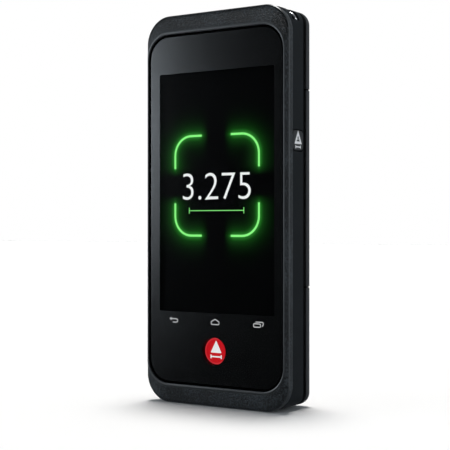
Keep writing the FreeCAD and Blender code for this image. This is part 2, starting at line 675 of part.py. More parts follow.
def makePort():
    flap = Piece("port_flap")
    side = -housingSide
    half = size.flapThick / 2
    length = size.flapWidth - half
    middle = size.portDepth + half / 2
    plate = rectangle(length, size.flapLength)
    flap.pad(plate, side, size.flapThick, x=middle, y=-size.portDown, plane="YZ")
    bottom = -size.portDown - size.flapLength / 2
    flap.pad(discs(size.flapThick), bottom, size.flapLength, x=pinAcross(), y=pinDepth(),
             plane="XY")
    bore = discs(size.pinDiameter + size.fitGap * 2)
    flap.cut(bore, bottom, size.flapLength, x=pinAcross(), y=pinDepth(), plane="XY")
    pin = Piece("port_flap_pin")
    pinLength = size.flapLength + size.pinGrip * 2
    pin.pad(discs(size.pinDiameter), -size.portDown - pinLength / 2, pinLength,
            x=pinAcross(), y=pinDepth(), plane="XY")
    shell = Piece("usb_connector")
    outline = rounded(size.portThick, size.portLength, size.portThick / 2 - size.fitGap)
    mouth = side + size.flapThick + size.flapPlay + size.fitGap
    place = {"x": size.portDepth, "y": -size.portDown, "plane": "YZ"}
    shell.pad(outline, mouth, size.portBody, **place)
    skin = size.portShell * 2
    corner = size.portThick / 2 - size.portShell - size.fitGap
    hollow = rounded(size.portThick - skin, size.portLength - skin, corner)
    shell.cut(hollow, mouth, size.portBody - size.portCap, **place)
    tongueLength = size.portBody - size.tongueDrop - size.portCap / 2
    shell.pad(rectangle(size.tongueThick, size.tongueWidth), mouth + size.tongueDrop,
              tongueLength, **place)
    board = Piece("port_board")
    card = rectangle(size.portBoardWidth, size.portBoardHeight)
    board.pad(card, size.portDepth + size.portThick / 2, size.boardThick,
              x=portBoardAcross(), y=-size.portDown)


# ---------------------------------------------------------------- inside
def makeBoards():
    spreader = Piece("heat_spreader")
    card = rectangle(boardWidth, bayHeight)
    spreader.pad(card, bracketBack, size.spreaderThick, y=bayCentre)
    cans = Piece("shield_cans")
    full = boardWidth - size.canMargin * 2
    half = (full - size.canGap) / 2
    upperTall = bayHeight / 2 - size.canMargin - size.canGap / 2
    canFront = bracketBack + size.spreaderThick
    for side in (-1, 1):
        cans.pad(rounded(half, upperTall, size.canCorner), canFront, size.canHeight,
                 x=(half + size.canGap) / 2 * side,
                 y=bayCentre + (upperTall + size.canGap) / 2)
    cans.pad(rounded(full, size.canSplit, size.canCorner), canFront, size.canHeight,
             y=bayCentre - (size.canSplit + size.canGap) / 2)
    board = Piece("main_board")
    board.pad(card, boardFront, size.boardThick, y=bayCentre)


def makeBench():
    bench = Piece("optical_bench")
    spineBottom = spineBoss - size.bossDiameter / 2
    bench.pad(rectangle(size.benchWidth, crossBarTop - spineBottom), benchFront,
              size.benchThick, x=-cameraAcross, y=(crossBarTop + spineBottom) / 2)
    bench.pad(rectangle(crossBarRight - spineLeft, size.crossBarHeight), benchFront,
              size.benchThick, x=(crossBarRight + spineLeft) / 2,
              y=crossBarTop - size.crossBarHeight / 2)
    bench.cut(discs(pilot, benchSpots), benchFront, size.benchThick)
    makeScrews("bench_screws", benchSpots, benchFront - size.headThick,
               size.screwGrip)


def makeCamera(name, up):
    place = {"x": -cameraAcross, "y": up}
    board = Piece(f"{name}_camera_board")
    board.pad(rectangle(size.sensorBoard, size.sensorBoard), benchBack, size.sensorThick,
              **place)
    barrel = Piece(f"{name}_camera_barrel")
    front = size.bodyDepth - size.barrelGap - size.barrelWall / 2
    barrel.pad(discs(size.barrelDiameter), sensorBack, front - sensorBack, **place)
    barrel.cut(discs(size.lensDiameter), front - size.lensThick, size.lensThick, **place)
    tunnel = front - size.lensThick - sensorBack - size.barrelWall
    barrel.cut(discs(size.lensDiameter - size.barrelWall * 2), sensorBack + size.barrelWall,
               tunnel, **place)
    lens = Piece(f"{name}_camera_lens")
    lens.pad(discs(size.lensDiameter - size.fitGap * 2), front - size.lensThick,
             size.lensThick, **place)
    makeWindow(f"{name}_camera_window", cameraWindow, -cameraAcross, up)


def makeWindow(label, diameter, across, up):
    # A flat glass let into the back plate, a little below its face.
    window = Piece(label)
    wide = diameter + size.windowLedge * 2 - size.fitGap * 2
    window.pad(discs(wide), windowFront, size.windowThick, x=across, y=up)


def cutWindow(plate, diameter, across, up):
    plate.cut(discs(diameter), plateInside, size.plateWall, x=across, y=up)
    plate.cut(discs(diameter + size.windowLedge * 2), windowFront,
              size.bodyDepth - windowFront, x=across, y=up)


def makeRangefinder():
    board = Piece("detector_board")
    middle = (finderAcross + laserAcross) / 2 - size.finderShift
    place = {"x": middle, "y": finderUp}
    trim = size.maskMargin * 2
    card = rectangle(size.finderWidth - trim, size.finderHeight - trim)
    board.pad(card, benchBack, size.sensorThick, **place)
    chassis = Piece("rangefinder_chassis")
    block = rectangle(size.finderWidth, size.finderHeight)
    chassis.pad(block, sensorBack, size.chassisThick, **place)
    tubeStart = sensorBack + size.chassisThick
    tubeEnd = housingBack + size.tubeProud
    finder = {"x": finderAcross, "y": finderUp}
    laser = {"x": laserAcross, "y": finderUp}
    chassis.pad(discs(size.tubeDiameter), tubeStart, tubeEnd - tubeStart, **finder)
    tunnel = discs(size.receiverDiameter - size.tubeStop * 2)
    chassis.cut(tunnel, sensorBack, tubeEnd - sensorBack, **finder)
    lensFront = tubeEnd - size.receiverThick
    chassis.cut(discs(size.receiverDiameter), lensFront, size.receiverThick, **finder)
    chassis.cut(discs(size.laserDiameter), sensorBack, size.chassisThick, **laser)
    lens = Piece("receiver_lens")
    lens.pad(discs(size.receiverDiameter - size.fitGap * 2), lensFront, size.receiverThick,
             **finder)
    barrel = Piece("laser_barrel")
    barrel.pad(discs(size.laserDiameter - size.fitGap * 2), sensorBack, tubeEnd - sensorBack,
               **laser)
    seat = size.laserLensThick + size.laserLensDrop
    barrel.cut(discs(size.laserLens), tubeEnd - seat, seat, **laser)
    optic = Piece("laser_lens")
    optic.pad(discs(size.laserLens - size.fitGap * 2), tubeEnd - seat, size.laserLensThick,
              **laser)
    makeWindow("receiver_window", size.receiverDiameter, finderAcross, finderUp)
    makeWindow("laser_window", size.laserDiameter, laserAcross, finderUp)


def makeFlash():
    place = {"x": -size.flashAcross, "y": flashUp}
    board = Piece("flash_board")
    board.pad(rectangle(size.flashBoard, size.flashBoard), housingBack, size.boardThick,
              **place)
    led = housingBack + size.boardThick
    board.pad(rectangle(size.flashBoard / 2, size.flashBoard / 2), led, size.boardThick,
              **place)
    makeWindow("flash_lens", size.flashLens, -size.flashAcross, flashUp)


def makeSound():
    speaker = Piece("speaker")
    speaker.pad(rounded(size.speakerWidth, size.speakerHeight, 2), floorFront
                - size.speakerThick, size.speakerThick, x=speakerAcross,
                y=speakerUp)
    mic = Piece("microphone")
    mic.pad(rectangle(size.micWidth, size.micWidth), floorFront - size.micThick, size.micThick,
            x=size.micAcross, y=innerBottom + size.micWidth / 2)
    antenna = Piece("antenna_carrier")
    antenna.pad(rectangle(size.antennaWidth, size.antennaHeight),
                floorFront - size.antennaThick, size.antennaThick, x=-size.antennaAcross,
                y=innerTop - size.antennaHeight / 2)


# ---------------------------------------------------------------- back plates and battery
def plateBlank(label):
    # The full back outline with its rounded rear edge, before it is cut to its share.
    piece = Piece(label)
    outline = rounded(housingWidth, housingHeight, size.housingCorner)
    piece.pad(outline, housingBack, size.plateThick, y=housingCentre)
    piece.round("Fillet", plateFillet, atDepth(size.bodyDepth))
    piece.round("Chamfer", size.plateBevel, atDepth(housingBack))
    return piece


def keepBetween(piece, low, high):
    # Cuts the blank away above high and below low.
    tall = size.frameHeight
    wide = size.frameWidth
    if high is not None:
        piece.cut(rectangle(wide, tall), housingBack, size.plateThick, y=high + tall / 2)
    if low is not None:
        piece.cut(rectangle(wide, tall), housingBack, size.plateThick, y=low - tall / 2)


def hollowPlate(piece, low, high):
    rim = size.plateRim
    inside = rounded(housingWidth - rim * 2, high - low - rim * 2, plateFillet)
    piece.cut(inside, housingBack, plateInside - housingBack, y=(low + high) / 2)


def makeLensPlates():
    half = size.seamGap / 2
    base = -size.frameHeight / 2
    upperLow = upperSeam + half
    lowerHigh = lowerSeam - half
    upper = plateBlank("upper_lens_plate")
    keepBetween(upper, upperLow, None)
    hollowPlate(upper, upperLow, housingTop)
    lower = plateBlank("lower_lens_plate")
    keepBetween(lower, None, lowerHigh)
    hollowPlate(lower, base, lowerHigh)
    for plate, spots in ((upper, corners[:2]), (lower, corners[2:])):
        plate.pad(discs(size.plateBoss, spots), housingBack,
                  plateInside - housingBack)
        plate.cut(discs(pilot, spots), housingBack, size.plateThick)
        head = discs(size.screwHead + size.fitGap * 2, spots)
        plate.cut(head, size.bodyDepth - size.plateWall, size.plateWall)
    cutWindow(upper, cameraWindow, -cameraAcross, cameraSpots["upper"])
    cutWindow(lower, cameraWindow, -cameraAcross, cameraSpots["lower"])
    cutWindow(upper, size.receiverDiameter, finderAcross, finderUp)
    cutWindow(upper, size.laserDiameter, laserAcross, finderUp)
    cutWindow(upper, size.flashLens, -size.flashAcross, flashUp)
    lower.cut(vents(), plateInside, size.plateWall)
    screws = Piece("plate_screws")
    headFront = size.bodyDepth - size.plateWall
    screws.pad(discs(size.screwHead, corners), headFront, size.headThick)
    shank = housingBack - size.screwGrip + size.fitGap
    screws.pad(discs(size.screwDiameter, corners), shank, headFront - shank)
    screws.cut(discs(size.screwDiameter / 2, corners), headFront + size.headThick / 2,
               size.headThick / 2)


def makeBattery():
    half = size.seamGap / 2
    low = lowerSeam + half
    high = upperSeam - half
    cover = plateBlank("battery_cover")
    keepBetween(cover, low, high)
    hollowPlate(cover, low, high)
    seal = Piece("battery_seal")
    seal.pad(sealRing(size.fitGap), housingBack - size.sealDepth,
             size.sealDepth - size.fitGap, y=bayCentre)
    pack = Piece("battery_pack")
    play = size.batteryPlay
    bayBottom = bayCentre - bayHeight / 2
    packHeight = bayHeight - size.contactRoom - play * 2
    packCentre = bayBottom + play + packHeight / 2
    packFront = bayFloor + size.batterySeat
    pack.pad(rounded(bayWidth - play * 2, packHeight, size.batteryCorner),
             packFront, plateInside - size.batteryLidGap - packFront, y=packCentre)
    contacts = Piece("battery_contacts")
    contacts.pad(rectangle(size.contactWidth, size.contactRoom), bayFloor, size.contactThick,
                 y=bayCentre + bayHeight / 2 - size.contactRoom / 2)


# ---------------------------------------------------------------- build, check and export
makeFrontFrame()
makeGlass()
makeDisplay()
makeMeasuringKey()
makeHousing()
makeStrapBar()
makeSideKey()
makePowerKey()
makePort()
makeBoards()
makeBench()
for cameraName, cameraUp in cameraSpots.items():
    makeCamera(cameraName, cameraUp)
makeRangefinder()
makeFlash()
makeSound()
makeLensPlates()
makeBattery()
doc.recompute()

for item in doc.Objects:
    if "Invalid" in item.State or "Error" in item.State:
        raise RuntimeError(f"{item.Label} did not build: {item.State}")
for body in pieces:
    if body.Shape.isNull() or not body.Shape.isValid():
        raise RuntimeError(f"{body.Label} has no valid shape")

os.makedirs("parts", exist_ok=True)
for body in pieces:
    body.Shape.exportStep(f"parts/{body.Label}.step")
    box = body.Shape.BoundBox
    print(f"{body.Label:24s} {len(body.Shape.Solids)} solids {body.Shape.Volume:10.2f} mm3 "
          f"x {box.XMin:7.2f} {box.XMax:7.2f}  y {box.YMin:7.2f} {box.YMax:7.2f}  "
          f"z {box.ZMin:7.2f} {box.ZMax:7.2f}")
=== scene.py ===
import json
import math
import bmesh
import bpy
from mathutils import Matrix, Vector


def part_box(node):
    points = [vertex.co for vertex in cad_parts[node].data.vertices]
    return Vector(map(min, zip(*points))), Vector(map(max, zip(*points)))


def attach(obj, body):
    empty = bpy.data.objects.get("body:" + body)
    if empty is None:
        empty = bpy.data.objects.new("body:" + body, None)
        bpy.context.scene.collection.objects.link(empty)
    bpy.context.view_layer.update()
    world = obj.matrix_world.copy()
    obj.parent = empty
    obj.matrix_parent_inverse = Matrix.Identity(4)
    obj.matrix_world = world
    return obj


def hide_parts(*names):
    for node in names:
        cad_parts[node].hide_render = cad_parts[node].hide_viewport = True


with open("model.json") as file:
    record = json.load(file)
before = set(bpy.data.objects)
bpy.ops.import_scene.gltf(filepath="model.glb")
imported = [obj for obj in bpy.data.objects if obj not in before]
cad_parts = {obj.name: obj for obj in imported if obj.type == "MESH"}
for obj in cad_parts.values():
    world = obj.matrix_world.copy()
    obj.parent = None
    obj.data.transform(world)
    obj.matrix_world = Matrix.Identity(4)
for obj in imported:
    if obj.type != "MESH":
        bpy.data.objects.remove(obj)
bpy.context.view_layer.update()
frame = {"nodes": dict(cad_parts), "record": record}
scene = bpy.context.scene
mm = 0.001

glassLow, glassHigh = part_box("cover_glass")
keyLow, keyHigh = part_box("measure_key_cap")
panelLow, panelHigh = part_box("display_panel")
sideLow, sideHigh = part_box("side_key")
frameLow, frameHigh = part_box("front_frame")
keyCentre = (keyLow + keyHigh) / 2
sideCentre = (sideLow + sideHigh) / 2


def linked(name, data):
    thing = bpy.data.objects.new(name, data)
    scene.collection.objects.link(thing)
    return thing


cameraSpec = {"place": (0.2924, -0.44265, 0.08287), "turn": 33.68, "lens": 91.46, "sensor": 36.0}


data = bpy.data.cameras.new("camera")
data.lens = cameraSpec["lens"]
data.sensor_width = cameraSpec["sensor"]
data.clip_start = 0.01
camera = linked("camera", data)
camera.location = cameraSpec["place"]
camera.rotation_euler = (math.radians(90), 0, math.radians(cameraSpec["turn"]))
scene.camera = camera
print("camera placed")


def feed(tree, node, values):
    # Each input takes a value, or a link where the value is a socket.
    for name, value in values.items():
        if isinstance(value, bpy.types.NodeSocket):
            tree.links.new(value, node.inputs[name])
        else:
            node.inputs[name].default_value = value


def added(tree, kind, values=None):
    node = tree.nodes.new(kind)
    feed(tree, node, values or {})
    return node


def newMaterial(name):
    material = bpy.data.materials.new(name)
    material.use_nodes = True
    tree = material.node_tree
    return material, tree, tree.nodes["Principled BSDF"]


def math2(tree, operation, first, second=None, clamp=False):
    node = added(tree, "ShaderNodeMath", {0: first} if second is None else {0: first, 1: second})
    node.operation = operation
    node.use_clamp = clamp
    return node.outputs[0]


def objectAxes(tree):
    place = added(tree, "ShaderNodeTexCoord").outputs["Object"]
    return place, added(tree, "ShaderNodeSeparateXYZ", {0: place}).outputs


def noise(tree, vector, scale, detail=2.0, roughness=0.5):
    node = added(tree, "ShaderNodeTexNoise", {"Scale": scale, "Detail": detail,
                                              "Roughness": roughness, "Vector": vector})
    return node.outputs["Fac"]


def ramp(tree, source, stops):
    node = added(tree, "ShaderNodeValToRGB", {0: source})
    elements = node.color_ramp.elements
    while len(elements) < len(stops):
        elements.new(0.5)
    for element, (position, colour) in zip(elements, stops):
        element.position = position
        element.color = (*colour, 1)
    return node.outputs["Color"]


def remapped(tree, value, low, high):
    node = added(tree, "ShaderNodeMapRange", {"To Min": low, "To Max": high, "Value": value})
    return node.outputs[0]


def bump(tree, shader, height, distance):
    node = added(tree, "ShaderNodeBump", {"Distance": distance, "Strength": 1.0, "Height": height})
    feed(tree, shader, {"Normal": node.outputs["Normal"]})


def grey(level):
    return (level, level, level)


def shade(colour, factor):
    return tuple(factor * part for part in colour)


def grained(name, dark, light, roughness, grain, depth, specular=0.5, tint=(1, 1, 1), spread=0.08,
            stops=(0.35, 0.65)):
    # A moulded surface: fine grain in colour, height and gloss over a slow drift of tone.
    material, tree, shader = newMaterial(name)
    place, _ = objectAxes(tree)
    fine = noise(tree, place, grain, 3.0, 0.6)
    slow = noise(tree, place, 60.0)
    total = math2(tree, "ADD", math2(tree, "MULTIPLY", fine, 0.7),
                  math2(tree, "MULTIPLY", slow, 0.3))
    tones = [(stops[0], shade(tint, dark)), (stops[1], shade(tint, light))]
    feed(tree, shader, {"Base Color": ramp(tree, total, tones), "Specular IOR Level": specular,
                        "Roughness": remapped(tree, fine, roughness - spread, roughness + spread)})
    bump(tree, shader, fine, depth)
    return material


def metal(name, colour, roughness, drawn=False):
    # Metal with a faint drift of tone, and drawn lines along Z where asked.
    material, tree, shader = newMaterial(name)
    place, _ = objectAxes(tree)
    stretch = added(tree, "ShaderNodeMapping", {"Scale": (1, 1, 0.03 if drawn else 1),
                                                "Vector": place})
    lines = noise(tree, stretch.outputs[0], 2500.0 if drawn else 400.0, 3.0)
    tones = [(0.3, shade(colour, 0.85)), (0.7, colour)]
    feed(tree, shader, {"Base Color": ramp(tree, lines, tones), "Metallic": 1.0,
                        "Roughness": remapped(tree, lines, roughness * 0.75, roughness * 1.25)})
    bump(tree, shader, lines, 2e-5 if drawn else 1e-5)
    return material


def clear(name, colour, ior=1.5, roughness=0.0, blackWalls=False):
    # Clear glass or plastic, with its cut walls painted black where asked.
    material, tree, shader = newMaterial(name)
    feed(tree, shader, {"Base Color": (*colour, 1), "Roughness": roughness, "IOR": ior,
                        "Transmission Weight": 1.0})
    if blackWalls:
        normal = added(tree, "ShaderNodeNewGeometry").outputs["True Normal"]
        split = added(tree, "ShaderNodeSeparateXYZ", {0: normal})
        face = math2(tree, "GREATER_THAN", math2(tree, "ABSOLUTE", split.outputs["Y"]), 0.5)
        feed(tree, shader, {"Transmission Weight": face,
                            "Base Color": ramp(tree, face, [(0.0, grey(0.004)), (1.0, colour)])})
    return material


def printed(name, dark, light, roughness, specular):
    # Smooth ink on the back of glass, with a faint drift of tone.
    material, tree, shader = newMaterial(name)
    drift = noise(tree, objectAxes(tree)[0], 80.0, 1.0)
    tones = [(0.3, grey(dark)), (0.7, grey(light))]
    feed(tree, shader, {"Base Color": ramp(tree, drift, tones), "Roughness": roughness,
                        "Specular IOR Level": specular})
    return material


def glowing(name, colour, strength):
    # A lit print: colour given off evenly, over a dark glossy base.
    material, tree, shader = newMaterial(name)
    fine = noise(tree, objectAxes(tree)[0], 1500.0, 1.0)
    tones = [(0.3, shade(colour, 0.94)), (0.7, colour)]
    feed(tree, shader, {"Emission Color": ramp(tree, fine, tones), "Emission Strength": strength,
                        "Base Color": (*grey(0.02), 1), "Roughness": 0.4,
                        "Specular IOR Level": 0.1})
    return material


def finishObject(name, mesh, material, smooth=True):
    thing = linked(name, mesh)
    mesh.materials.clear()
    mesh.materials.append(material)
    for face in mesh.polygons:
        face.use_smooth = smooth
    return thing


def meshOf(thing):
    # The evaluated mesh of an object, which is then deleted.
    bpy.context.view_layer.update()
    graph = bpy.context.evaluated_depsgraph_get()
    mesh = bpy.data.meshes.new_from_object(thing.evaluated_get(graph), depsgraph=graph)
    bpy.data.objects.remove(thing)
    return mesh


def roundedOutline(width, height, radius, centre=(0, 0), steps=10):
    points = []
    for turn, (sx, sy) in enumerate(((1, 1), (-1, 1), (-1, -1), (1, -1))):
        cx = centre[0] + sx * (width / 2 - radius)
        cy = centre[1] + sy * (height / 2 - radius)
        for step in range(steps + 1):
            angle = math.radians(90 * turn + 90 * step / steps)
            points.append((cx + radius * math.cos(angle), cy + radius * math.sin(angle)))
    return points


def circleOutline(diameter, centre=(0, 0), steps=72):
    return [(centre[0] + diameter / 2 * math.cos(2 * math.pi * i / steps),
             centre[1] + diameter / 2 * math.sin(2 * math.pi * i / steps)) for i in range(steps)]


def curveOf(name, dimensions, strokes):
    curve = bpy.data.curves.new(name, "CURVE")
    curve.dimensions = dimensions
    for points, closed in strokes:
        spline = curve.splines.new("POLY")
        spline.points.add(len(points) - 1)
        for point, (x, y) in zip(spline.points, points):
            point.co = (x, y, 0, 1)
        spline.use_cyclic_u = closed
    return curve


def flatMesh(name, outlines, thickness):
    # A flat plate on XY whose later outlines are holes, centred on its thickness.
    curve = curveOf(name, "2D", [(outline, True) for outline in outlines])
    curve.fill_mode = "BOTH"
    curve.extrude = thickness / 2
    return meshOf(linked(name, curve))


# Drawings on XY, turned to be read from -Y and from +X.
frontTurn = Matrix.Rotation(math.radians(90), 4, "X")
sideTurn = Matrix.Rotation(math.radians(90), 4, "Z") @ frontTurn


def placed(mesh, turn, place):
    mesh.transform(Matrix.Translation(place) @ turn)
    mesh.update()
    return mesh


def strokeMesh(name, strokes, width, thickness):
    # Pen strokes with round ends, flattened to a print of the given thickness.
    curve = curveOf(name, "3D", strokes)
    curve.bevel_depth = width / 2
    curve.bevel_resolution = 3
    curve.use_fill_caps = True
    mesh = meshOf(linked(name, curve))
    mesh.transform(Matrix.Scale(thickness / width, 4, Vector((0, 0, 1))))
    return mesh


def closeWork(work, name, turn=False):
    # The mesh of a finished bmesh, with its faces turned outward where asked.
    if turn:
        bmesh.ops.recalc_face_normals(work, faces=work.faces)
    mesh = bpy.data.meshes.new(name)
    work.to_mesh(mesh)
    work.free()
    return mesh


def joined(name, meshes):
    work = bmesh.new()
    for mesh in meshes:
        work.from_mesh(mesh)
    return closeWork(work, name)


def turned(name, profile, centre, steps=96):
    # A closed ring or lens turned about an axis along Y: profile is (radius, y) pairs.
    work = bmesh.new()
    circle = circleOutline(2, (0, 0), steps)
    rings = []
    for radius, y in profile:
        spots = circle if radius > 1e-7 else [(0, 0)]
        rings.append([work.verts.new((centre[0] + radius * x, y, centre[1] + radius * z))
                      for x, z in spots])
    for first, second in zip(rings, rings[1:] + rings[:1]):
        if len(first) == 1 and len(second) == 1:
            continue
        for i in range(steps):
            j = (i + 1) % steps
            corners = [first[i % len(first)], first[j % len(first)],
                       second[j % len(second)], second[i % len(second)]]
            work.faces.new(list(dict.fromkeys(corners)))
    return closeWork(work, name, True)


def easedSections(sections, ease, steps=4):
    # Sections are (width, height, corner, y); each corner of the profile is rounded by its ease.
    result = []
    count = len(sections)
    for i, here in enumerate(sections):
        if not ease[i]:
            result.append(here)
            continue
        ends = []
        for other in (sections[i - 1], sections[(i + 1) % count]):
            span = max(abs(other[0] - here[0]) / 2, abs(other[3] - here[3]), 1e-6)
            part = min(ease[i] / span, 0.45)
            ends.append([a + (b - a) * part for a, b in zip(here, other)])
        for step in range(steps + 1):
            t = step / steps
            result.append(tuple((1 - t) ** 2 * a + 2 * t * (1 - t) * b + t * t * c
                                for a, b, c in zip(ends[0], here, ends[1])))
    return result


def loftMesh(name, sections, centre=(0, 0), closed=False, steps=14):
    # Skins rounded rectangles in order: a closed loop makes a ring, an open run gets end caps.
    work = bmesh.new()
    rings = []
    for width, height, corner, y in sections:
        outline = roundedOutline(width, height, max(corner, 0.02 * mm), centre, steps)
        rings.append([work.verts.new((x, y, z)) for x, z in outline])
    pairs = list(zip(rings, rings[1:]))
    if closed:
        pairs.append((rings[-1], rings[0]))
    for first, second in pairs:
        for i in range(len(first)):
            j = (i + 1) % len(first)
            work.faces.new((first[i], first[j], second[j], second[i]))
    if not closed:
        work.faces.new(rings[0])
        work.faces.new(rings[-1])
    return closeWork(work, name, True)


def finishSmooth(name, mesh, material, degrees=30):
    # Edges sharper than the angle are marked, so flats stay flat and rounds stay smooth.
    thing = finishObject(name, mesh, material)
    work = bmesh.new()
    work.from_mesh(mesh)
    for edge in work.edges:
        if len(edge.link_faces) == 2:
            edge.smooth = edge.calc_face_angle(0) < math.radians(degrees)
    work.to_mesh(mesh)
    work.free()
    return thing


slotLooks = {
    # Fine spark-eroded grain: light flecks over black.
    "bumper": (grained, 0.001, 0.042, 0.46, 1200.0, 0.00052, 0.62, (0.78, 1.0, 1.18), 0.14,
               (0.47, 0.58)),
    "seal": (grained, 0.006, 0.012, 0.7, 1500.0, 2e-5),
    "cover_glass": (clear, grey(1.0), 1.14, 0.0, True),
    "mask_film": (printed, 0.0030, 0.0040, 0.10, 1.0),
    "display": (grained, 0.0020, 0.0028, 0.3, 600.0, 5e-7, 0.02),
    "magnesium": (metal, grey(0.42), 0.45),
    "screw_steel": (metal, grey(0.55), 0.3),
    "key_cap": (clear, grey(1.0), 1.14, 0.0, True),
    "key_red": (grained, 0.48, 0.56, 0.35, 900.0, 1e-6, 0.5, (1.0, 0.012, 0.02)),
    "circuit": (grained, 0.02, 0.05, 0.4, 1200.0, 1e-5, 0.5, (0.3, 1.0, 0.6)),
    "spring_steel": (metal, grey(0.6), 0.25),
    "housing": (grained, 0.008, 0.014, 0.50, 2200.0, 3e-5, 0.10, (0.80, 1.0, 1.16), 0.08),
    "polished_bar": (metal, (0.90, 0.90, 0.92), 0.30),
    "side_key": (grained, 0.007, 0.012, 0.45, 2600.0, 3e-5, 0.5, (0.97, 1.0, 1.06)),
    "power_key": (grained, 0.016, 0.024, 0.4, 2600.0, 3e-5),
    "flap_rubber": (grained, 0.010, 0.016, 0.6, 2600.0, 3e-5),
    "connector": (metal, grey(0.5), 0.28, True),
    "copper": (metal, (0.72, 0.38, 0.25), 0.3),
    "tinned_steel": (metal, grey(0.55), 0.35),
    "bench_aluminium": (metal, (0.5, 0.5, 0.52), 0.35, True),
    "lens_barrel": (grained, 0.006, 0.012, 0.35, 2000.0, 1e-5),
    "lens_glass": (clear, (0.75, 0.80, 0.95), 1.6, 0.02),
    "window_glass": (clear, (0.85, 0.87, 0.90), 1.5, 0.0),
    "flash_lens": (clear, (0.98, 0.95, 0.82), 1.5, 0.12),
    "speaker": (grained, 0.02, 0.04, 0.6, 1500.0, 2e-5),
    "antenna": (grained, 0.15, 0.20, 0.5, 1500.0, 2e-5, 0.5, (1.0, 0.85, 0.5)),
    "back_plate": (grained, 0.017, 0.027, 0.46, 3000.0, 5e-5, 0.5, (0.98, 0.99, 1.06), 0.1),
    "black_screw": (metal, grey(0.06), 0.35),
    "battery": (grained, 0.03, 0.05, 0.5, 1200.0, 2e-5),
    "contacts": (metal, (0.85, 0.62, 0.28), 0.25),
}
slotMaterials = {name: make(name, *values) for name, (make, *values) in slotLooks.items()}
for entry in frame["record"]["subparts"]:
    node = frame["nodes"][entry["node"]]
    node.data.materials.clear()
    node.data.materials.append(slotMaterials[entry["material_slot"]])
print("materials set on the frame's nodes")


artSpec = {"viewWidth": 62.7 * mm, "viewHeight": 110.4 * mm, "square": 46 * mm, "corner": 9 * mm,
           "arm": 15 * mm, "pen": 1.0 * mm, "thin": 0.35 * mm, "print": 0.02 * mm,
           "squareRise": 3 * mm, "ruleDrop": 11.5 * mm, "ruleWidth": 30 * mm,
           "ruleTick": 1.4 * mm, "figureHeight": 13.0 * mm, "figureThin": 0.24 * mm,
           "halo": 2.2 * mm, "bleed": 3.4 * mm, "faceCorner": 1.1 * mm}
viewCentre = (panelLow + panelHigh) / 2
faceFront = glassHigh.y - 0.07 * mm
artFront = faceFront - 0.02 * mm


def bracketStrokes(square, corner, arm):
    # Four corner brackets: an arm, a quarter bend and an arm each.
    half = square / 2
    strokes = []
    for sx in (-1, 1):
        for sy in (-1, 1):
            points = [(sx * (half - arm), sy * half)]
            for step in range(11):
                angle = math.radians(90 - 9 * step)
                points.append((sx * (half - corner + corner * math.cos(angle)),
                               sy * (half - corner + corner * math.sin(angle))))
            points.append((sx * half, sy * (half - arm)))
            strokes.append((points, False))
    return strokes


def spanStrokes(width, tick):
    # A span mark: a line between two end ticks.
    half = width / 2
    return [([(-half, 0), (half, 0)], False), ([(-half, -tick), (-half, tick)], False),
            ([(half, -tick), (half, tick)], False)]


def makeArtwork():
    # The brackets, the reading between them and a dimension line below it.
    spec = artSpec
    place = Vector((viewCentre.x, artFront, viewCentre.z + spec["squareRise"]))
    green = glowing("display_green", (0.25, 0.95, 0.22), 1.0)
    white = glowing("display_white", (0.93, 0.96, 0.95), 0.92)
    mesh = strokeMesh("viewfinder", bracketStrokes(spec["square"], spec["corner"], spec["arm"]),
                      spec["pen"], spec["print"])
    brackets = finishObject("viewfinder_brackets", placed(mesh, frontTurn, place), green)
    figures = makeFigures("reading_figures", "3.275", spec["figureHeight"], white,
                          place - Vector((0, 0, spec["figureHeight"] * 0.5)))
    mesh = strokeMesh("dimension_line", spanStrokes(spec["ruleWidth"], spec["ruleTick"]),
                      spec["thin"], spec["print"])
    below = place - Vector((0, 0, spec["ruleDrop"]))
    dimension = finishObject("dimension_line", placed(mesh, frontTurn, below), green)
    for piece in (brackets, dimension, figures):
        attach(piece, "case")


capShare = 0.72


def makeFigures(name, words, height, material, place):
    text = bpy.data.curves.new(name, "FONT")
    text.body = words
    text.size = height / capShare
    text.align_x = "CENTER"
    text.extrude = artSpec["print"] / 2
    text.offset = -artSpec["figureThin"]
    mesh = placed(meshOf(linked(name, text)), frontTurn, place)
    return finishObject(name, mesh, material, False)


def displayMaterial():
    # The dark panel, with a soft green halo round the brackets.
    material, tree, shader = newMaterial("display_panel")
    _, axes = objectAxes(tree)
    spec = artSpec
    half = spec["square"] / 2 - spec["corner"]
    away = []
    for axis, centre in (("X", viewCentre.x), ("Z", viewCentre.z + spec["squareRise"])):
        across = math2(tree, "ABSOLUTE", math2(tree, "SUBTRACT", axes[axis], centre))
        away.append(math2(tree, "SUBTRACT", across, half))
    squares = [math2(tree, "POWER", math2(tree, "MAXIMUM", side, 0.0), 2.0) for side in away]
    length = math2(tree, "SQRT", math2(tree, "ADD", *squares))
    inner = math2(tree, "MINIMUM", math2(tree, "MAXIMUM", *away), 0.0)
    ring = math2(tree, "SUBTRACT", math2(tree, "ADD", length, inner), spec["corner"])
    off = math2(tree, "DIVIDE", math2(tree, "ABSOLUTE", ring), -spec["halo"])
    fade = math2(tree, "POWER", 2.718, off)
    gapStart = spec["square"] / 2 - spec["arm"]
    nearer = math2(tree, "MINIMUM", *[math2(tree, "ADD", side, half) for side in away])
    shown = added(tree, "ShaderNodeMapRange", {"From Min": gapStart - 4 * mm, "Value": nearer,
                                               "From Max": gapStart + 2 * mm})
    shown.interpolation_type = "SMOOTHSTEP"
    glow = math2(tree, "MULTIPLY", fade, shown.outputs[0])
    colour = ramp(tree, glow, [(0.0, (0, 0, 0)), (0.35, (0.004, 0.045, 0.004)),
                               (1.0, (0.03, 0.30, 0.03))])
    feed(tree, shader, {"Emission Color": colour, "Emission Strength": 1.0, "Roughness": 0.3,
                        "Base Color": (0.0022, 0.0022, 0.0026, 1), "Specular IOR Level": 0.02})
    return material


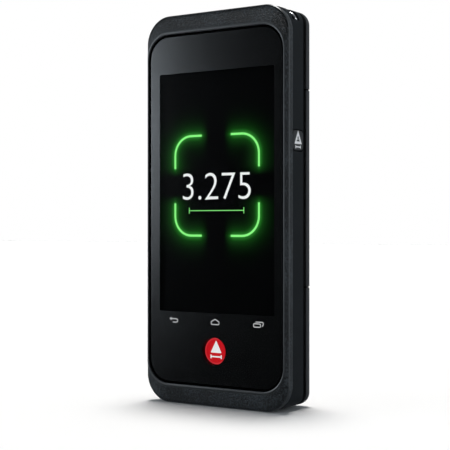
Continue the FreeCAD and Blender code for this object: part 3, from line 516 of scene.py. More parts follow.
def makeDisplayFace():
    # The lit face, bonded to the glass, which hides the panel's own front.
    spec = artSpec
    outline = roundedOutline(spec["viewWidth"] + spec["bleed"], spec["viewHeight"] + spec["bleed"],
                             spec["faceCorner"])
    mesh = flatMesh("display_face", [outline], spec["print"])
    place = Vector((viewCentre.x, faceFront + 0.025 * mm, viewCentre.z))
    face = finishObject("display_face", placed(mesh, frontTurn, place), displayMaterial(), False)
    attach(face, "case")


makeArtwork()
makeDisplayFace()
print("display drawn")


maskSpec = {"thick": 0.04 * mm, "margin": 0.28 * mm, "corner": 10.15 * mm, "viewCorner": 0.6 * mm,
            "depth": 0.06 * mm, "rim": 0.42 * mm, "shift": 0.6 * mm, "keyGap": 0.10 * mm}
iconSpec = {"rise": 38.7 * mm, "pitch": 23.2 * mm, "pen": 0.42 * mm, "print": 0.02 * mm,
            "size": 0.82 * mm, "wide": 1.22, "front": glassLow.y + 0.025 * mm}
keySpec = {"face": 12.2 * mm, "flange": 14.6 * mm, "step": 0.1 * mm, "triangle": 6.0 * mm,
           "round": 0.5 * mm, "rise": 1.6 * mm, "span": 5.6 * mm, "tick": 0.85 * mm,
           "drop": 2.6 * mm, "pen": 0.62 * mm}


def makeBorderPrint():
    # Black print just under the glass, with a glossier rim; the window allows for its depth.
    spec = maskSpec
    margin = 2 * spec["margin"]
    width, height = glassHigh.x - glassLow.x - margin, glassHigh.z - glassLow.z - margin
    centre = (glassLow + glassHigh) / 2
    rim = spec["rim"]
    edge = roundedOutline(width, height, spec["corner"])
    inner = roundedOutline(width - 2 * rim, height - 2 * rim, spec["corner"] - rim)
    window = roundedOutline(artSpec["viewWidth"], artSpec["viewHeight"], spec["viewCorner"],
                            (spec["shift"], viewCentre.z - centre.z))
    opening = circleOutline(keyHigh.x - keyLow.x + 2 * spec["keyGap"],
                            (keyCentre.x, keyCentre.z - centre.z))
    shine = printed("glass_rim", 0.003, 0.004, 0.10, 1.0)
    shine.node_tree.nodes["Principled BSDF"].inputs["IOR"].default_value = 1.62
    sheets = (("border_print", [inner, window, opening], slotMaterials["mask_film"]),
              ("glass_rim", [edge, inner], shine))
    place = Vector((centre.x, glassLow.y + spec["depth"], centre.z))
    for name, outlines, material in sheets:
        mesh = flatMesh(name, outlines, spec["thick"])
        piece = finishObject(name, placed(mesh, frontTurn, place), material, False)
        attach(piece, "case")
    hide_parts("border_mask")


def backStrokes():
    # A hooked arrow that turns back to the left.
    hook = [(-2.0, 0.7), (1.3, 0.7)]
    hook += [(1.3 + 0.95 * math.cos(math.radians(a)), -0.25 + 0.95 * math.sin(math.radians(a)))
             for a in range(75, -91, -15)]
    hook.append((-0.6, -1.2))
    head = [(-1.3, 1.5), (-2.2, 0.7), (-1.3, -0.1)]
    return [(hook, False), (head, False)]


def homeStrokes():
    return [([(-2.1, 0.25), (-0.3, 1.45), (0.3, 1.45), (2.1, 0.25), (2.1, -1.0), (1.7, -1.3),
              (-1.7, -1.3), (-2.1, -1.0)], True)]


def recentStrokes():
    front = roundedOutline(3.6, 1.8, 0.5, (-0.7, -0.5), 3)
    behind = [(-1.5, 1.35), (2.1, 1.35), (2.5, 0.95), (2.5, -0.1), (1.9, -0.9)]
    return [(front, True), (behind, False)]


def scaled(strokes, across, up):
    return [([(x * across, y * up) for x, y in points], closed) for points, closed in strokes]


def makeIcons():
    spec = iconSpec
    white = glowing("icon_white", (0.70, 0.71, 0.72), 0.75)
    row = {"back_icon": (-1, backStrokes()), "home_icon": (0, homeStrokes()),
           "recent_icon": (1, recentStrokes())}
    for name, (step, strokes) in row.items():
        drawn = scaled(strokes, spec["wide"] * spec["size"], spec["size"])
        mesh = strokeMesh(name, drawn, spec["pen"], spec["print"])
        place = Vector((step * spec["pitch"] + maskSpec["shift"], spec["front"], spec["rise"]))
        piece = finishObject(name, placed(mesh, frontTurn, place), white)
        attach(piece, "case")


def triangleOutline(size, round_, steps=6):
    # An upright triangle with rounded corners, centred on its own middle.
    corners = [(0, size * 0.55), (-size / 2, -size * 0.40), (size / 2, -size * 0.40)]
    points = []
    for i, corner in enumerate(corners):
        before, after = Vector(corners[i - 1]), Vector(corners[(i + 1) % 3])
        here = Vector(corner)
        start = here + (before - here).normalized() * round_
        end = here + (after - here).normalized() * round_
        for step in range(steps + 1):
            part = step / steps
            point = start * (1 - part) ** 2 + here * 2 * part * (1 - part) + end * part ** 2
            points.append((point.x, point.y))
    return points


def makeMeasuringKey():
    # A flanged red disc behind the clear cap, with a triangle over a span mark.
    spec = keySpec
    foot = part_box("measure_key_insert")[1].y
    radius, flange, step = spec["face"] / 2, spec["flange"] / 2, spec["step"]
    profile = [(0, faceFront), (radius, faceFront), (radius + step, faceFront + step),
               (flange - step, faceFront + step), (flange, faceFront + 2 * step),
               (flange, foot), (0, foot)]
    mesh = turned("red_key_face", profile, (keyCentre.x, keyCentre.z))
    face = finishSmooth("red_key_face", mesh, keyMaterial(), 35)
    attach(face, "measure_key")
    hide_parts("measure_key_insert")
    # The white mark glows in place of the light it would catch through the cap: painted light.
    white = glowing("key_mark_white", (0.93, 0.93, 0.94), 0.85)
    triangle = flatMesh("key_triangle", [triangleOutline(spec["triangle"], spec["round"])],
                        artSpec["print"])
    placed(triangle, frontTurn, (0, artFront, keyCentre.z + spec["rise"]))
    span = strokeMesh("key_span", spanStrokes(spec["span"], spec["tick"]), spec["pen"],
                      artSpec["print"])
    placed(span, frontTurn, (0, artFront, keyCentre.z - spec["drop"]))
    mark = finishObject("red_key_mark", joined("red_key_mark", [triangle, span]), white, False)
    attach(mark, "measure_key")


def keyMaterial():
    # Red print that glows in place of the light it would catch through its clear cap, inside a
    # black edge; it is brighter in the middle and in a thin ring near the rim, a painted highlight.
    material, tree, shader = newMaterial("measuring_key_red")
    _, axes = objectAxes(tree)
    across = math2(tree, "POWER", math2(tree, "SUBTRACT", axes["X"], keyCentre.x), 2.0)
    up = math2(tree, "POWER", math2(tree, "SUBTRACT", axes["Z"], keyCentre.z), 2.0)
    away = math2(tree, "SQRT", math2(tree, "ADD", across, up))
    part = math2(tree, "DIVIDE", away, keySpec["face"] / 2)
    # Painted highlight: lighter in the middle and in a thin ring near the rim.
    tone = ramp(tree, part, [(0.0, (0.56, 0.006, 0.012)), (0.86, (0.50, 0.005, 0.010)),
                             (0.93, (0.60, 0.035, 0.045)), (0.995, (0.45, 0.01, 0.015)),
                             (1.0, grey(0.003))])
    # The glow stands in for the light the red face would catch through the cap.
    feed(tree, shader, {"Emission Color": tone, "Emission Strength": 0.95, "Roughness": 0.4,
                        "Base Color": (0.02, 0.001, 0.001, 1), "Specular IOR Level": 0.1})
    return material


makeBorderPrint()
makeIcons()
makeMeasuringKey()
print("front prints made")


frameSpec = {"corner": 12.5 * mm, "setback": 2.1 * mm, "ridgeSide": 1.3 * mm, "ridgeEnd": 7.55 * mm,
             "ridgeCorner": 11.9 * mm, "lipSide": 0.6 * mm, "lipEnd": 1.55 * mm,
             "mouthCorner": 11.2 * mm, "openingSide": 0.6 * mm, "openingEnd": 0.7 * mm,
             "openingCorner": 10.6 * mm, "wallDepth": 0.8 * mm, "ledge": 1.6 * mm,
             "ledgeCorner": 9.0 * mm, "ledgeDepth": 3.1 * mm, "beadRise": 0.05 * mm,
             "line": 0.34 * mm}
caseSpec = {"corner": 6.6 * mm, "groove": 1.2 * mm, "liner": 0.12 * mm, "plateBevel": 0.18 * mm,
            "plateRound": 3.5 * mm, "plateStart": 0.12 * mm, "lift": 0.9 * mm,
            "liftReach": 7.5 * mm, "roundSteps": 14, "coverWall": 1.6 * mm,
            "coverRim": 3.0 * mm, "ribInset": 0.3 * mm, "ribGap": 0.06 * mm, "edge": 0.15 * mm,
            "play": 0.05 * mm, "seat": 0.9 * mm}
loftSteps = 20


def makeFrame():
    # The grained front frame: wide sloping bands at the ends, a lip round the glass.
    spec = frameSpec
    width, height = frameHigh.x - frameLow.x, frameHigh.z - frameLow.z
    front, back = frameLow.y, frameHigh.y
    round_ = spec["corner"]

    def inside(outer, side, end, corner):
        return outer[0] - 2 * spec[side], outer[1] - 2 * spec[end], spec[corner]

    ridge = inside((width, height), "ridgeSide", "ridgeEnd", "ridgeCorner")
    mouth = inside(ridge, "lipSide", "lipEnd", "mouthCorner")
    opening = inside(mouth, "openingSide", "openingEnd", "openingCorner")
    ledge = inside(opening, "ledge", "ledge", "ledgeCorner")
    sections = [(width, height, round_, back),
                (width, height, round_, front + spec["setback"]),
                (*ridge, front),
                (*mouth, front),
                (*mouth, front + spec["wallDepth"]),
                (*opening, front + spec["wallDepth"]),
                (*opening, front + spec["ledgeDepth"]),
                (*ledge, front + spec["ledgeDepth"]),
                (*ledge, back)]
    ease = [value * mm for value in (0.15, 0.5, 0.30, 0.2, 0, 0, 0, 0, 0)]
    centre = ((frameLow.x + frameHigh.x) / 2, (frameLow.z + frameHigh.z) / 2)
    mesh = loftMesh("bumper_frame", easedSections(sections, ease), centre, True, loftSteps)
    piece = finishSmooth("bumper_frame", mesh, slotMaterials["bumper"])
    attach(piece, "case")
    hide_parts("front_frame")
    # The lip is a smoother bead, a little proud of the band.
    proud = spec["beadRise"]
    root = (ridge[0] + 0.2 * mm, ridge[1] + 0.6 * mm, ridge[2])
    deep = front + spec["wallDepth"] - 0.05 * mm
    wall = (mouth[0] - 0.06 * mm, mouth[1] - 0.06 * mm, mouth[2])
    sections = [(*root, front + 0.3 * mm),
                (*ridge, front - proud),
                (*wall, front - proud),
                (*wall, deep),
                (*ridge, deep)]
    ease = [value * mm for value in (0.04, 0.34, 0.30, 0, 0)]
    mesh = loftMesh("lip_bead", easedSections(sections, ease), centre, True, loftSteps)
    lip = grained("lip", 0.010, 0.018, 0.30, 1300.0, 4e-5, 1.0, (0.88, 1.0, 1.10), 0.06)
    bead = finishSmooth("lip_bead", mesh, lip)
    # A near-black matt sheet in the floor of the gap all round the glass, painted shade for the
    # gap, and the fine polished line of the outer edge.
    gap = (glassHigh.x - glassLow.x + 0.12 * mm, glassHigh.z - glassLow.z + 0.12 * mm, opening[2])
    sections = [(*mouth, deep - 0.05 * mm),
                (*gap, deep - 0.05 * mm),
                (*gap, deep + 0.3 * mm),
                (*opening, deep + 0.3 * mm)]
    mesh = loftMesh("gap_seal", sections, centre, True, loftSteps)
    # Painted shade: the gap's floor is near-black and matt.
    paintedShade = grained("gap_black", 0.0008, 0.0012, 0.9, 1500.0, 5e-6, 0.02)
    seal = finishObject("gap_seal", mesh, paintedShade)
    line, out = spec["line"], 0.03 * mm
    edge = front + spec["setback"]
    sections = [(width - 0.6 * line, height - 2 * line, round_ - line * 0.3, edge - line),
                (width - out, height - out, round_, edge - line * 0.1),
                (width + out, height + out, round_, edge + line * 0.3),
                (width + out / 2, height + out / 2, round_, edge + line),
                (width - 4 * line, height - 4 * line, round_ - 2 * line, edge + line / 2)]
    mesh = loftMesh("frame_edge", sections, centre, True, loftSteps)
    satin = grained("edge_satin", 0.012, 0.020, 0.34, 1300.0, 3e-5, 1.0, (0.88, 1.0, 1.10), 0.05)
    rim = finishSmooth("frame_edge", mesh, satin, 50)
    for thing in (bead, seal, rim):
        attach(thing, "case")


def makeGrooveShade():
    # A near-black matt band at the bottom of the groove between housing and back plates: painted
    # shade for the groove.
    low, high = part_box("rear_housing")
    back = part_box("battery_cover")[0].y
    inset = 2 * caseSpec["groove"]
    width, height = high.x - low.x - inset, high.z - low.z - inset
    corner = caseSpec["corner"] - caseSpec["groove"]
    skin = caseSpec["liner"]
    start = back - 2.55 * mm
    end = back + caseSpec["plateStart"] + 0.4 * mm
    sections = [(width + 2 * out, height + 2 * out, corner + out, y)
                for out, y in ((skin, start), (skin, end), (-skin, end), (-skin, start))]
    middle = (low + high) / 2
    mesh = loftMesh("groove_liner", sections, (middle.x, middle.z), True)
    # Painted shade: the groove's floor is near-black and matt.
    paintedShade = grained("groove_matt", 0.0012, 0.0018, 0.9, 1500.0, 1e-5, 0.05)
    piece = finishSmooth("groove_liner", liftBottom(mesh), paintedShade)
    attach(piece, "case")


def liftBottom(mesh):
    # Squeezes the lowest part upwards, so the back stands clear of the floor behind the frame.
    lift, reach = caseSpec["lift"], caseSpec["liftReach"]
    for point in mesh.vertices:
        if point.co.z < reach:
            point.co.z = lift + point.co.z * (1 - lift / reach)
    mesh.update()
    return mesh


def makeHousing():
    # The solid's own shell, merged, with its lower end lifted.
    work = bmesh.new()
    work.from_mesh(frame["nodes"]["rear_housing"].data)
    bmesh.ops.remove_doubles(work, verts=work.verts, dist=0.0005 * mm)
    mesh = liftBottom(closeWork(work, "housing_shell"))
    piece = finishSmooth("housing_shell", mesh, slotMaterials["housing"])
    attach(piece, "case")
    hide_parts("rear_housing")


def plateShape(name, inset=0.0):
    # The whole back outline: eased front edge, and a large round that falls to the back face.
    low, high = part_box("rear_housing")
    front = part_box("battery_cover")[0].y + caseSpec["plateStart"]
    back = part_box("battery_cover")[1].y - inset
    width, height = high.x - low.x - 2 * inset, high.z - low.z - 2 * inset
    bevel, round_ = caseSpec["plateBevel"], caseSpec["plateRound"]
    corner = caseSpec["corner"] - inset
    sections = [(width - 2 * bevel, height - 2 * bevel, corner - bevel, front),
                (width, height, corner, front + bevel)]
    for step in range(caseSpec["roundSteps"] + 1):
        turn = math.radians(90) * step / caseSpec["roundSteps"]
        fall = round_ * (1 - math.cos(turn))
        sections.append((width - 2 * fall, height - 2 * fall, corner - fall,
                         back - round_ + round_ * math.sin(turn)))
    middle = (low + high) / 2
    return loftMesh(name, sections, (middle.x, middle.z), False, loftSteps)


def keepBetween(mesh, low, high):
    # Cuts a closed mesh flat above and below, and caps the cuts.
    work = bmesh.new()
    work.from_mesh(mesh)
    for level, side in ((high, 1), (low, -1)):
        if level is None:
            continue
        parts = work.verts[:] + work.edges[:] + work.faces[:]
        cut = bmesh.ops.bisect_plane(work, geom=parts, plane_co=(0, 0, level),
                                     plane_no=(0, 0, side), clear_outer=True)
        rim = [item for item in cut["geom_cut"] if isinstance(item, bmesh.types.BMEdge)]
        bmesh.ops.holes_fill(work, edges=rim)
    bmesh.ops.recalc_face_normals(work, faces=work.faces)
    work.to_mesh(mesh)
    work.free()


def rodMesh(radius, y0, y1, centre, steps=64):
    return turned("rod", [(0, y0), (radius, y0), (radius, y1), (0, y1)], centre, steps)


def modified(mesh, kind, settings):
    # The mesh after one modifier.
    thing = linked(mesh.name, mesh)
    change = thing.modifiers.new("change", kind)
    for name, value in settings.items():
        setattr(change, name, value)
    return meshOf(thing)


def cutAway(mesh, cutters):
    # The mesh with the cutters' shapes taken out of it.
    tool = linked("cutter", joined("cutter", cutters))
    result = modified(mesh, "BOOLEAN", {"operation": "DIFFERENCE", "solver": "EXACT",
                                        "use_self": True, "object": tool})
    bpy.data.objects.remove(tool)
    return result


def easeEdges(mesh, width):
    return modified(mesh, "BEVEL", {"width": width, "segments": 3, "limit_method": "ANGLE",
                                    "angle_limit": math.radians(40)})


def makePlate(node, body, low, high, cutters, name):
    mesh = plateShape(name)
    keepBetween(mesh, low, high)
    mesh = easeEdges(mesh, caseSpec["edge"])
    mesh = liftBottom(cutAway(mesh, cutters))
    piece = finishSmooth(name, mesh, slotMaterials["back_plate"])
    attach(piece, body)
    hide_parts(node)


def roundNode(node):
    # Centre on XZ, radius, and the two ends along Y.
    low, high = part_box(node)
    return ((low.x + high.x) / 2, (low.z + high.z) / 2), (high.x - low.x) / 2, low.y, high.y


def holeThrough(node):
    # A stepped bore for a window: wide where it seats, narrower below.
    centre, radius, low, high = roundNode(node)
    radius += caseSpec["play"]
    narrow, deep, out = radius - caseSpec["seat"], low - 12 * mm, high + 3 * mm
    shape = [(0, deep), (narrow, deep), (narrow, low), (radius, low), (radius, out), (0, out)]
    return turned("bore", shape, centre, 72)


def rowsTree():
    # One piece repeated in rows and columns about the middle.
    tree = bpy.data.node_groups.new("rows_and_columns", "GeometryNodeTree")
    face = tree.interface
    sockets = (("Geometry", "Geometry"), ("Piece", "Object"), ("Columns", "Int"), ("Rows", "Int"),
               ("Column Pitch", "Float"), ("Row Pitch", "Float"), ("Material", "Material"))
    for name, kind in sockets:
        face.new_socket(name=name, in_out="INPUT", socket_type="NodeSocket" + kind)
    face.new_socket(name="Geometry", in_out="OUTPUT", socket_type="NodeSocketGeometry")
    given = added(tree, "NodeGroupInput").outputs

    def line(count, pitch, axis):
        gaps = math2(tree, "SUBTRACT", given[count], 1.0)
        reach = math2(tree, "MULTIPLY", math2(tree, "MULTIPLY", given[pitch], gaps), -0.5)
        start = added(tree, "ShaderNodeCombineXYZ", {axis: reach})
        step = added(tree, "ShaderNodeCombineXYZ", {axis: given[pitch]})
        points = {"Count": given[count], "Start Location": start.outputs[0],
                  "Offset": step.outputs[0]}
        return added(tree, "GeometryNodeMeshLine", points).outputs[0]

    def spread(points, shape):
        put = added(tree, "GeometryNodeInstanceOnPoints", {"Points": points, "Instance": shape})
        return added(tree, "GeometryNodeRealizeInstances", {0: put.outputs[0]}).outputs[0]

    grid = spread(line("Columns", "Column Pitch", "X"), line("Rows", "Row Pitch", "Z"))
    shape = added(tree, "GeometryNodeObjectInfo", {"Object": given["Piece"]}).outputs["Geometry"]
    finish = added(tree, "GeometryNodeSetMaterial", {"Geometry": spread(grid, shape),
                                                     "Material": given["Material"]})
    added(tree, "NodeGroupOutput", {0: finish.outputs[0]})
    return tree


repeatTree = rowsTree()


def repeated(name, mesh, columns, rows, columnPitch, rowPitch, centre, material=None):
    # One plain mesh of the piece in all its places.
    pattern = linked(name + "_one", mesh)
    holder = linked(name, bpy.data.meshes.new(name))
    change = holder.modifiers.new("repeat", "NODES")
    change.node_group = repeatTree
    values = {"Piece": pattern, "Columns": columns, "Rows": rows, "Column Pitch": columnPitch,
              "Row Pitch": rowPitch, "Material": material}
    for socket in repeatTree.interface.items_tree:
        if socket.in_out == "INPUT" and values.get(socket.name) is not None:
            change[socket.identifier] = values[socket.name]
    result = meshOf(holder)
    bpy.data.objects.remove(pattern)
    result.transform(Matrix.Translation((centre[0], 0, centre[1])))
    return result


screwSpec = {"head": 1.85 * mm, "rise": 1.0 * mm, "ease": 0.18 * mm, "socket": 0.95 * mm,
             "deep": 0.7 * mm, "margin": 1.9 * mm, "recess": 1.95 * mm, "floor": 1.05 * mm}


def makeScrews():
    spec = screwSpec
    low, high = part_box("plate_screws")
    top, foot = high.y, high.y - spec["rise"]
    head = turned("head", [(0, foot), (spec["head"], foot), (spec["head"], top - spec["ease"]),
                           (spec["head"] - spec["ease"], top), (0, top)], (0, 0), 48)
    hexagon = rodMesh(spec["socket"], top - spec["deep"], top + 1 * mm, (0, 0), 6)
    head = cutAway(head, [hexagon])
    across = high.x - low.x - 2 * spec["margin"]
    rise = high.z - low.z - 2 * spec["margin"]
    middle = (low + high) / 2
    mesh = repeated("plate_screw_heads", head, 2, 2, across, rise, (middle.x, middle.z),
                    slotMaterials["black_screw"])
    piece = finishSmooth("plate_screw_heads", mesh, slotMaterials["black_screw"])
    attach(piece, "case")
    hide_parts("plate_screws")


lensSpec = {"bezel": 0.55 * mm, "proud": 0.12 * mm, "steps": 5, "stepDepth": 0.42 * mm,
            "stepIn": 0.5 * mm, "dome": 0.55 * mm,
            "ease": 0.1 * mm, "inside": 0.95 * mm, "smallest": 0.8 * mm}


def makeLens(node, label, coating):
    # A bezel round the window, stepped baffles that narrow inwards, and a coated front lens.
    spec = lensSpec
    centre, radius, back, front = roundNode(node)
    top, ease = front + spec["proud"], spec["ease"]
    hole, foot = radius - spec["bezel"], front - 0.15 * mm
    outer = radius - 0.02 * mm
    bezel = [(hole, foot), (hole, top - ease), (hole + ease, top), (outer - ease, top),
             (outer, top - ease), (outer, foot)]
    ring = turned(label + "_bezel", bezel, centre)
    inner = wide = radius - spec["inside"]
    y = start = back - ease
    profile = []
    for step in range(min(spec["steps"], int((inner - spec["smallest"]) / spec["stepIn"]))):
        profile += [(wide, y), (wide, y - spec["stepDepth"])]
        wide -= spec["stepIn"]
        y -= spec["stepDepth"]
    end, rim = y - 0.4 * mm, inner + 0.2 * mm
    profile += [(wide, y), (wide, end), (rim, end), (rim, start)]
    baffle = turned(label + "_baffle", profile, centre)
    lens = [(0, y - 0.35 * mm), (wide, y - 0.35 * mm)]
    for degrees in range(0, 90, 9):
        angle = math.radians(degrees)
        lens.append((wide * math.cos(angle), y - ease + spec["dome"] * math.sin(angle)))
    lens.append((0, y - ease + spec["dome"]))
    glass = turned(label + "_front_lens", lens, centre)
    made = ((ring, satinBlack, label + "_bezel"), (baffle, baffleBlack, label + "_baffle"),
            (glass, coating, label + "_front_lens"))
    for mesh, material, name in made:
        piece = finishSmooth(name, mesh, material)
        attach(piece, "case")


def coated(name, middle, rim):
    # Dark glass with a coloured coating that drifts between two tones.
    material, tree, shader = newMaterial(name)
    drift = noise(tree, objectAxes(tree)[0], 150.0, 1.0)
    feed(tree, shader, {"Base Color": ramp(tree, drift, [(0.35, middle), (0.65, rim)]),
                        "IOR": 1.7, "Roughness": 0.04, "Coat Weight": 0.5})
    return material


satinBlack = metal("satin_black", grey(0.22), 0.30)
baffleBlack = grained("baffle_black", 0.004, 0.007, 0.7, 1500.0, 1e-5, 0.3)


def makeLenses():
    violet = coated("coating_violet", (0.010, 0.006, 0.030), (0.030, 0.012, 0.050))
    amber = coated("coating_amber", (0.030, 0.010, 0.004), (0.020, 0.006, 0.012))
    for node, label, coating in (("upper_camera_window", "upper_camera", violet),
                                 ("lower_camera_window", "lower_camera", violet),
                                 ("receiver_window", "receiver", amber),
                                 ("laser_window", "laser", amber)):
        makeLens(node, label, coating)


flashSpec = {"rings": 7, "ring": 0.12 * mm}


def makeFlashLens():
    # Clear cover with fine moulded rings.
    centre, radius, low, high = roundNode("flash_lens")
    radius -= 0.02 * mm
    ease, reach, count = 0.1 * mm, radius - 0.5 * mm, flashSpec["rings"]
    profile = [(0, low), (radius, low), (radius, high - ease), (radius - ease, high)]
    for i in range(count):
        outer = reach * (1 - i / count)
        profile += [(outer, high), (outer - reach / count * 0.25, high - flashSpec["ring"])]
    profile.append((0, high - flashSpec["ring"]))
    mesh = turned("flash_cover", profile, centre)
    piece = finishSmooth("flash_cover", mesh, slotMaterials["flash_lens"], 20)
    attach(piece, "case")
    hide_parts("flash_lens")


ventSpec = {"count": 5, "pitch": 2.8 * mm, "diameter": 1.3 * mm, "across": 15.0 * mm,
            "rise": 14.3 * mm}


def makePlates():
    # The two lens plates and the battery cover, with near-black matt ribs sunk in the seams between
    # them, painted shade for the seams.
    upperLow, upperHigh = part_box("upper_lens_plate")
    lowerLow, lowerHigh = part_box("lower_lens_plate")
    coverLow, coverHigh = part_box("battery_cover")
    screwLow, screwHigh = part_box("plate_screws")
    upper = [holeThrough(node) for node in
             ("upper_camera_window", "receiver_window", "laser_window", "flash_lens")]
    lower = [holeThrough("lower_camera_window")]
    screw, vent = screwSpec, ventSpec
    margin, headDepth = screw["margin"], screwHigh.y - screw["floor"]
    for across in (screwLow.x + margin, screwHigh.x - margin):
        for up, share in ((screwHigh.z - margin, upper), (screwLow.z + margin, lower)):
            share.append(rodMesh(screw["recess"], headDepth, upperHigh.y + 1 * mm, (across, up)))
    rod = rodMesh(vent["diameter"] / 2, lowerLow.y - 1 * mm, lowerHigh.y + 1 * mm, (0, 0), 32)
    lower.append(repeated("vent_row", rod, vent["count"], 1, vent["pitch"], 0,
                          (vent["across"], vent["rise"])))
    makePlate("upper_lens_plate", "case", upperLow.z, None, upper, "upper_back_plate")
    makePlate("lower_lens_plate", "case", None, lowerHigh.z, lower, "lower_back_plate")
    rim, wall = caseSpec["coverRim"], caseSpec["coverWall"]
    middle = (coverLow + coverHigh) / 2
    hollow = [(coverHigh.x - coverLow.x - 2 * rim, coverHigh.z - coverLow.z - 2 * rim,
               caseSpec["plateRound"], y) for y in (coverLow.y - 1 * mm, coverHigh.y - wall)]
    pocket = loftMesh("pocket", hollow, (middle.x, middle.z))
    makePlate("battery_cover", "battery_cover", coverLow.z, coverHigh.z, [pocket],
              "battery_cover_shell")
    seams, gap = [], caseSpec["ribGap"]
    for below, above in ((lowerHigh.z, coverLow.z), (coverHigh.z, upperLow.z)):
        rib = plateShape("rib", caseSpec["ribInset"])
        keepBetween(rib, below + gap, above - gap)
        seams.append(rib)
    # Painted shade: the seam ribs are near-black and matt.
    paintedShade = grained("seam_black", 0.0012, 0.0018, 0.9, 1500.0, 1e-5, 0.05)
    piece = finishSmooth("seam_ribs", joined("seam_ribs", seams), paintedShade)
    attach(piece, "case")


barSpec = {"x": 29.6 * mm, "z": 173.4 * mm, "radius": 5.3 * mm, "pen": 1.05 * mm,
           "depth": 1.2 * mm, "start": 100, "end": 17, "steps": 24, "tip": 0.70 * mm}


def makeStrapBar():
    # A polished bent pin across the notched corner, with a ball end.
    spec = barSpec
    place = Vector((spec["x"], spec["depth"], spec["z"]))
    stroke = []
    for i in range(spec["steps"] + 1):
        part = i / spec["steps"]
        angle = math.radians(spec["start"] + (spec["end"] - spec["start"]) * part)
        stroke.append((spec["radius"] * math.cos(angle), spec["radius"] * math.sin(angle)))
    pin = strokeMesh("pin", [(stroke, False)], spec["pen"], spec["pen"])
    placed(pin, frontTurn, place)
    tip = bmesh.new()
    bmesh.ops.create_uvsphere(tip, u_segments=24, v_segments=16, radius=spec["tip"])
    ball = closeWork(tip, "ball")
    x, z = stroke[-1]
    ball.transform(Matrix.Translation(place + Vector((x, 0, z))))
    mesh = joined("strap_pin", [pin, ball])
    piece = finishObject("strap_pin", mesh, slotMaterials["polished_bar"])
    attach(piece, "case")
    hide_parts("strap_bar")


makeFrame()
makeHousing()
makeGrooveShade()
makePlates()
makeStrapBar()
makeScrews()
makeLenses()
makeFlashLens()
print("frame, housing, back plates and lenses made")


sideSpec = {"lift": 0.005 * mm, "triangle": 6.5 * mm, "round": 0.35 * mm, "hole": 0.42,
            "rise": 1.0 * mm, "span": 4.2 * mm, "tick": 0.75 * mm, "pen": 0.55 * mm,
            "drop": 2.9 * mm, "hatchPen": 0.25 * mm, "hatchRise": 0.7 * mm}


def makeSideMark():
    # A hollow triangle with two hatch lines, over a span mark.
    spec, thin = sideSpec, artSpec["print"]
    white = grained("side_mark_white", 0.86, 0.94, 0.5, 900.0, 5e-6)
    outer = triangleOutline(spec["triangle"], spec["round"])
    inner = [(x * spec["hole"], y * spec["hole"] - spec["round"]) for x, y in outer]
    hatch = [([(-0.75 + 0.75 * i, -0.55), (-0.35 + 0.75 * i, 0.2)], False) for i in range(2)]
    parts = ((flatMesh("side_triangle", [outer, inner], thin), spec["rise"]),
             (strokeMesh("side_hatch", scaled(hatch, mm, mm), spec["hatchPen"], thin),
              spec["hatchRise"]),
             (strokeMesh("side_span", spanStrokes(spec["span"], spec["tick"]), spec["pen"], thin),
              -spec["drop"]))
    for mesh, up in parts:
        placed(mesh, sideTurn, (sideHigh.x + spec["lift"], sideCentre.y, sideCentre.z + up))
    mesh = joined("side_key_mark", [mesh for mesh, _ in parts])
    mark = finishObject("side_key_mark", mesh, white, False)
    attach(mark, "side_key")


makeSideMark()
print("side key marked")


floorSpec = {"size": 8.0, "albedo": 0.80, "shown": (1.0, 0.98, 0.96)}
lightSpec = {"ambient": 0.46, "upper": 0.10, "below": 0.35,
             "key": (-0.07, 0.12, 1.0), "keyLevel": 38.0, "keyReach": (3.0, 13.5),
             "strip": (0.975, 0.22, 0.05), "stripReach": (3.0, 14.0), "stripLevel": 2.8,
             "card": (-0.770, -0.632, 0.087), "cardReach": 30.0,
             "tint": (0.90, 1.0, 1.09)}
# Dark flags above, before the glass, beside the camera and behind: toward, degrees, level.
flags = [((0.62, -0.64, 0.46), (18.0, 34.0), 0.04), ((-0.469, -0.883, -0.035), (14.0, 36.0), 0.06),
         ((0.50, -0.82, 0.28), (24.0, 46.0), 0.05), ((-0.30, 0.95, 0.0), (14.0, 34.0), 0.25)]
# How bright the card is at each angle from its middle.
cardFall = [(0.0, 3.4), (11.0, 3.2), (12.4, 2.3), (13.1, 1.5), (13.7, 0.9), (14.3, 0.52),
            (15.0, 0.30), (15.8, 0.16), (17.0, 0.06), (19.0, 0.01), (20.5, 0.0)]


def makeFloor():
    # A white sweep: it keeps the object's shadow and stays out of its gloss.
    mesh = bpy.data.meshes.new("floor")
    half = floorSpec["size"] / 2
    mesh.from_pydata([(-half, -half, 0), (half, -half, 0), (half, half, 0), (-half, half, 0)], [],
                     [(0, 1, 2, 3)])
    material, tree, shader = newMaterial("floor")
    tree.nodes.remove(shader)
    path = added(tree, "ShaderNodeLightPath").outputs["Is Camera Ray"]
    tone = ramp(tree, path, [(0.0, grey(floorSpec["albedo"])), (1.0, floorSpec["shown"])])
    diffuse = added(tree, "ShaderNodeBsdfDiffuse", {"Color": tone})
    feed(tree, tree.nodes["Material Output"], {0: diffuse.outputs[0]})
    floor = finishObject("floor", mesh, material, False)
    floor.visible_glossy = False
    floor.visible_transmission = False


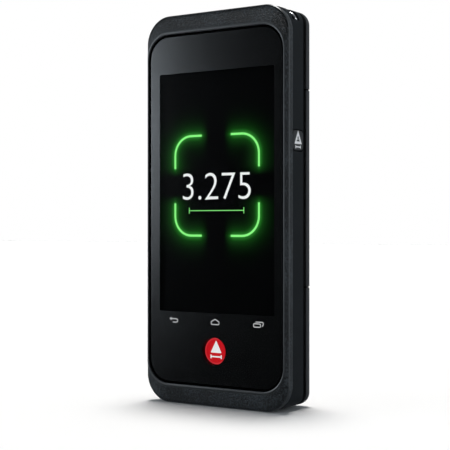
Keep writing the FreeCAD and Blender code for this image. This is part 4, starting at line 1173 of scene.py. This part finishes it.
def makeWorld():
    # A cool room with dark flags, a bright strip and a card; a white key above; white to the lens.
    spec = lightSpec
    world = bpy.data.worlds.new("studio")
    scene.world = world
    world.use_nodes = True
    tree = world.node_tree
    place = added(tree, "ShaderNodeTexCoord").outputs["Generated"]
    unit = added(tree, "ShaderNodeVectorMath", {0: place})
    unit.operation = "NORMALIZE"

    def angleFrom(direction):
        toward = added(tree, "ShaderNodeVectorMath", {0: unit.outputs[0],
                                                      1: Vector(direction).normalized()})
        toward.operation = "DOT_PRODUCT"
        turn = math2(tree, "ARCCOSINE", toward.outputs["Value"])
        return math2(tree, "MULTIPLY", turn, 180 / math.pi)

    def soft(angle, inner, outer, atInner, atOuter):
        fall = added(tree, "ShaderNodeMapRange", {"From Min": inner, "From Max": outer,
                                                  "To Min": atInner, "To Max": atOuter,
                                                  "Value": angle})
        fall.interpolation_type = "SMOOTHSTEP"
        return fall.outputs[0]

    def light(colour, strength):
        return added(tree, "ShaderNodeBackground", {"Color": (*colour, 1),
                                                    "Strength": strength}).outputs[0]

    zenith = angleFrom((0, 0, 1))
    band = math2(tree, "MULTIPLY", soft(zenith, 40.0, 62.0, spec["upper"], spec["ambient"]),
                 soft(zenith, 88.0, 112.0, 1.0, spec["below"]))
    for toward, reach, level in flags:
        band = math2(tree, "MULTIPLY", band, soft(angleFrom(toward), *reach, level, 1.0))
    lit = soft(angleFrom(spec["strip"]), *spec["stripReach"], spec["stripLevel"], 0.0)
    key = soft(angleFrom(spec["key"]), *spec["keyReach"], spec["keyLevel"], 0.0)
    part = math2(tree, "DIVIDE", angleFrom(spec["card"]), spec["cardReach"], True)
    peak = cardFall[0][1]
    card = ramp(tree, part, [(angle / spec["cardReach"], grey(level / peak))
                             for angle, level in cardFall])
    room = math2(tree, "ADD", math2(tree, "ADD", band, lit), math2(tree, "MULTIPLY", card, peak))
    lights = added(tree, "ShaderNodeAddShader", {0: light(spec["tint"], room),
                                                 1: light(grey(1.0), key)})
    path = added(tree, "ShaderNodeLightPath").outputs["Is Camera Ray"]
    mix = added(tree, "ShaderNodeMixShader", {0: path, 1: lights.outputs[0],
                                              2: light(grey(1.0), 1.0)})
    feed(tree, tree.nodes["World Output"], {0: mix.outputs[0]})


makeFloor()
makeWorld()
scene.view_settings.view_transform = "Standard"
print("studio set")
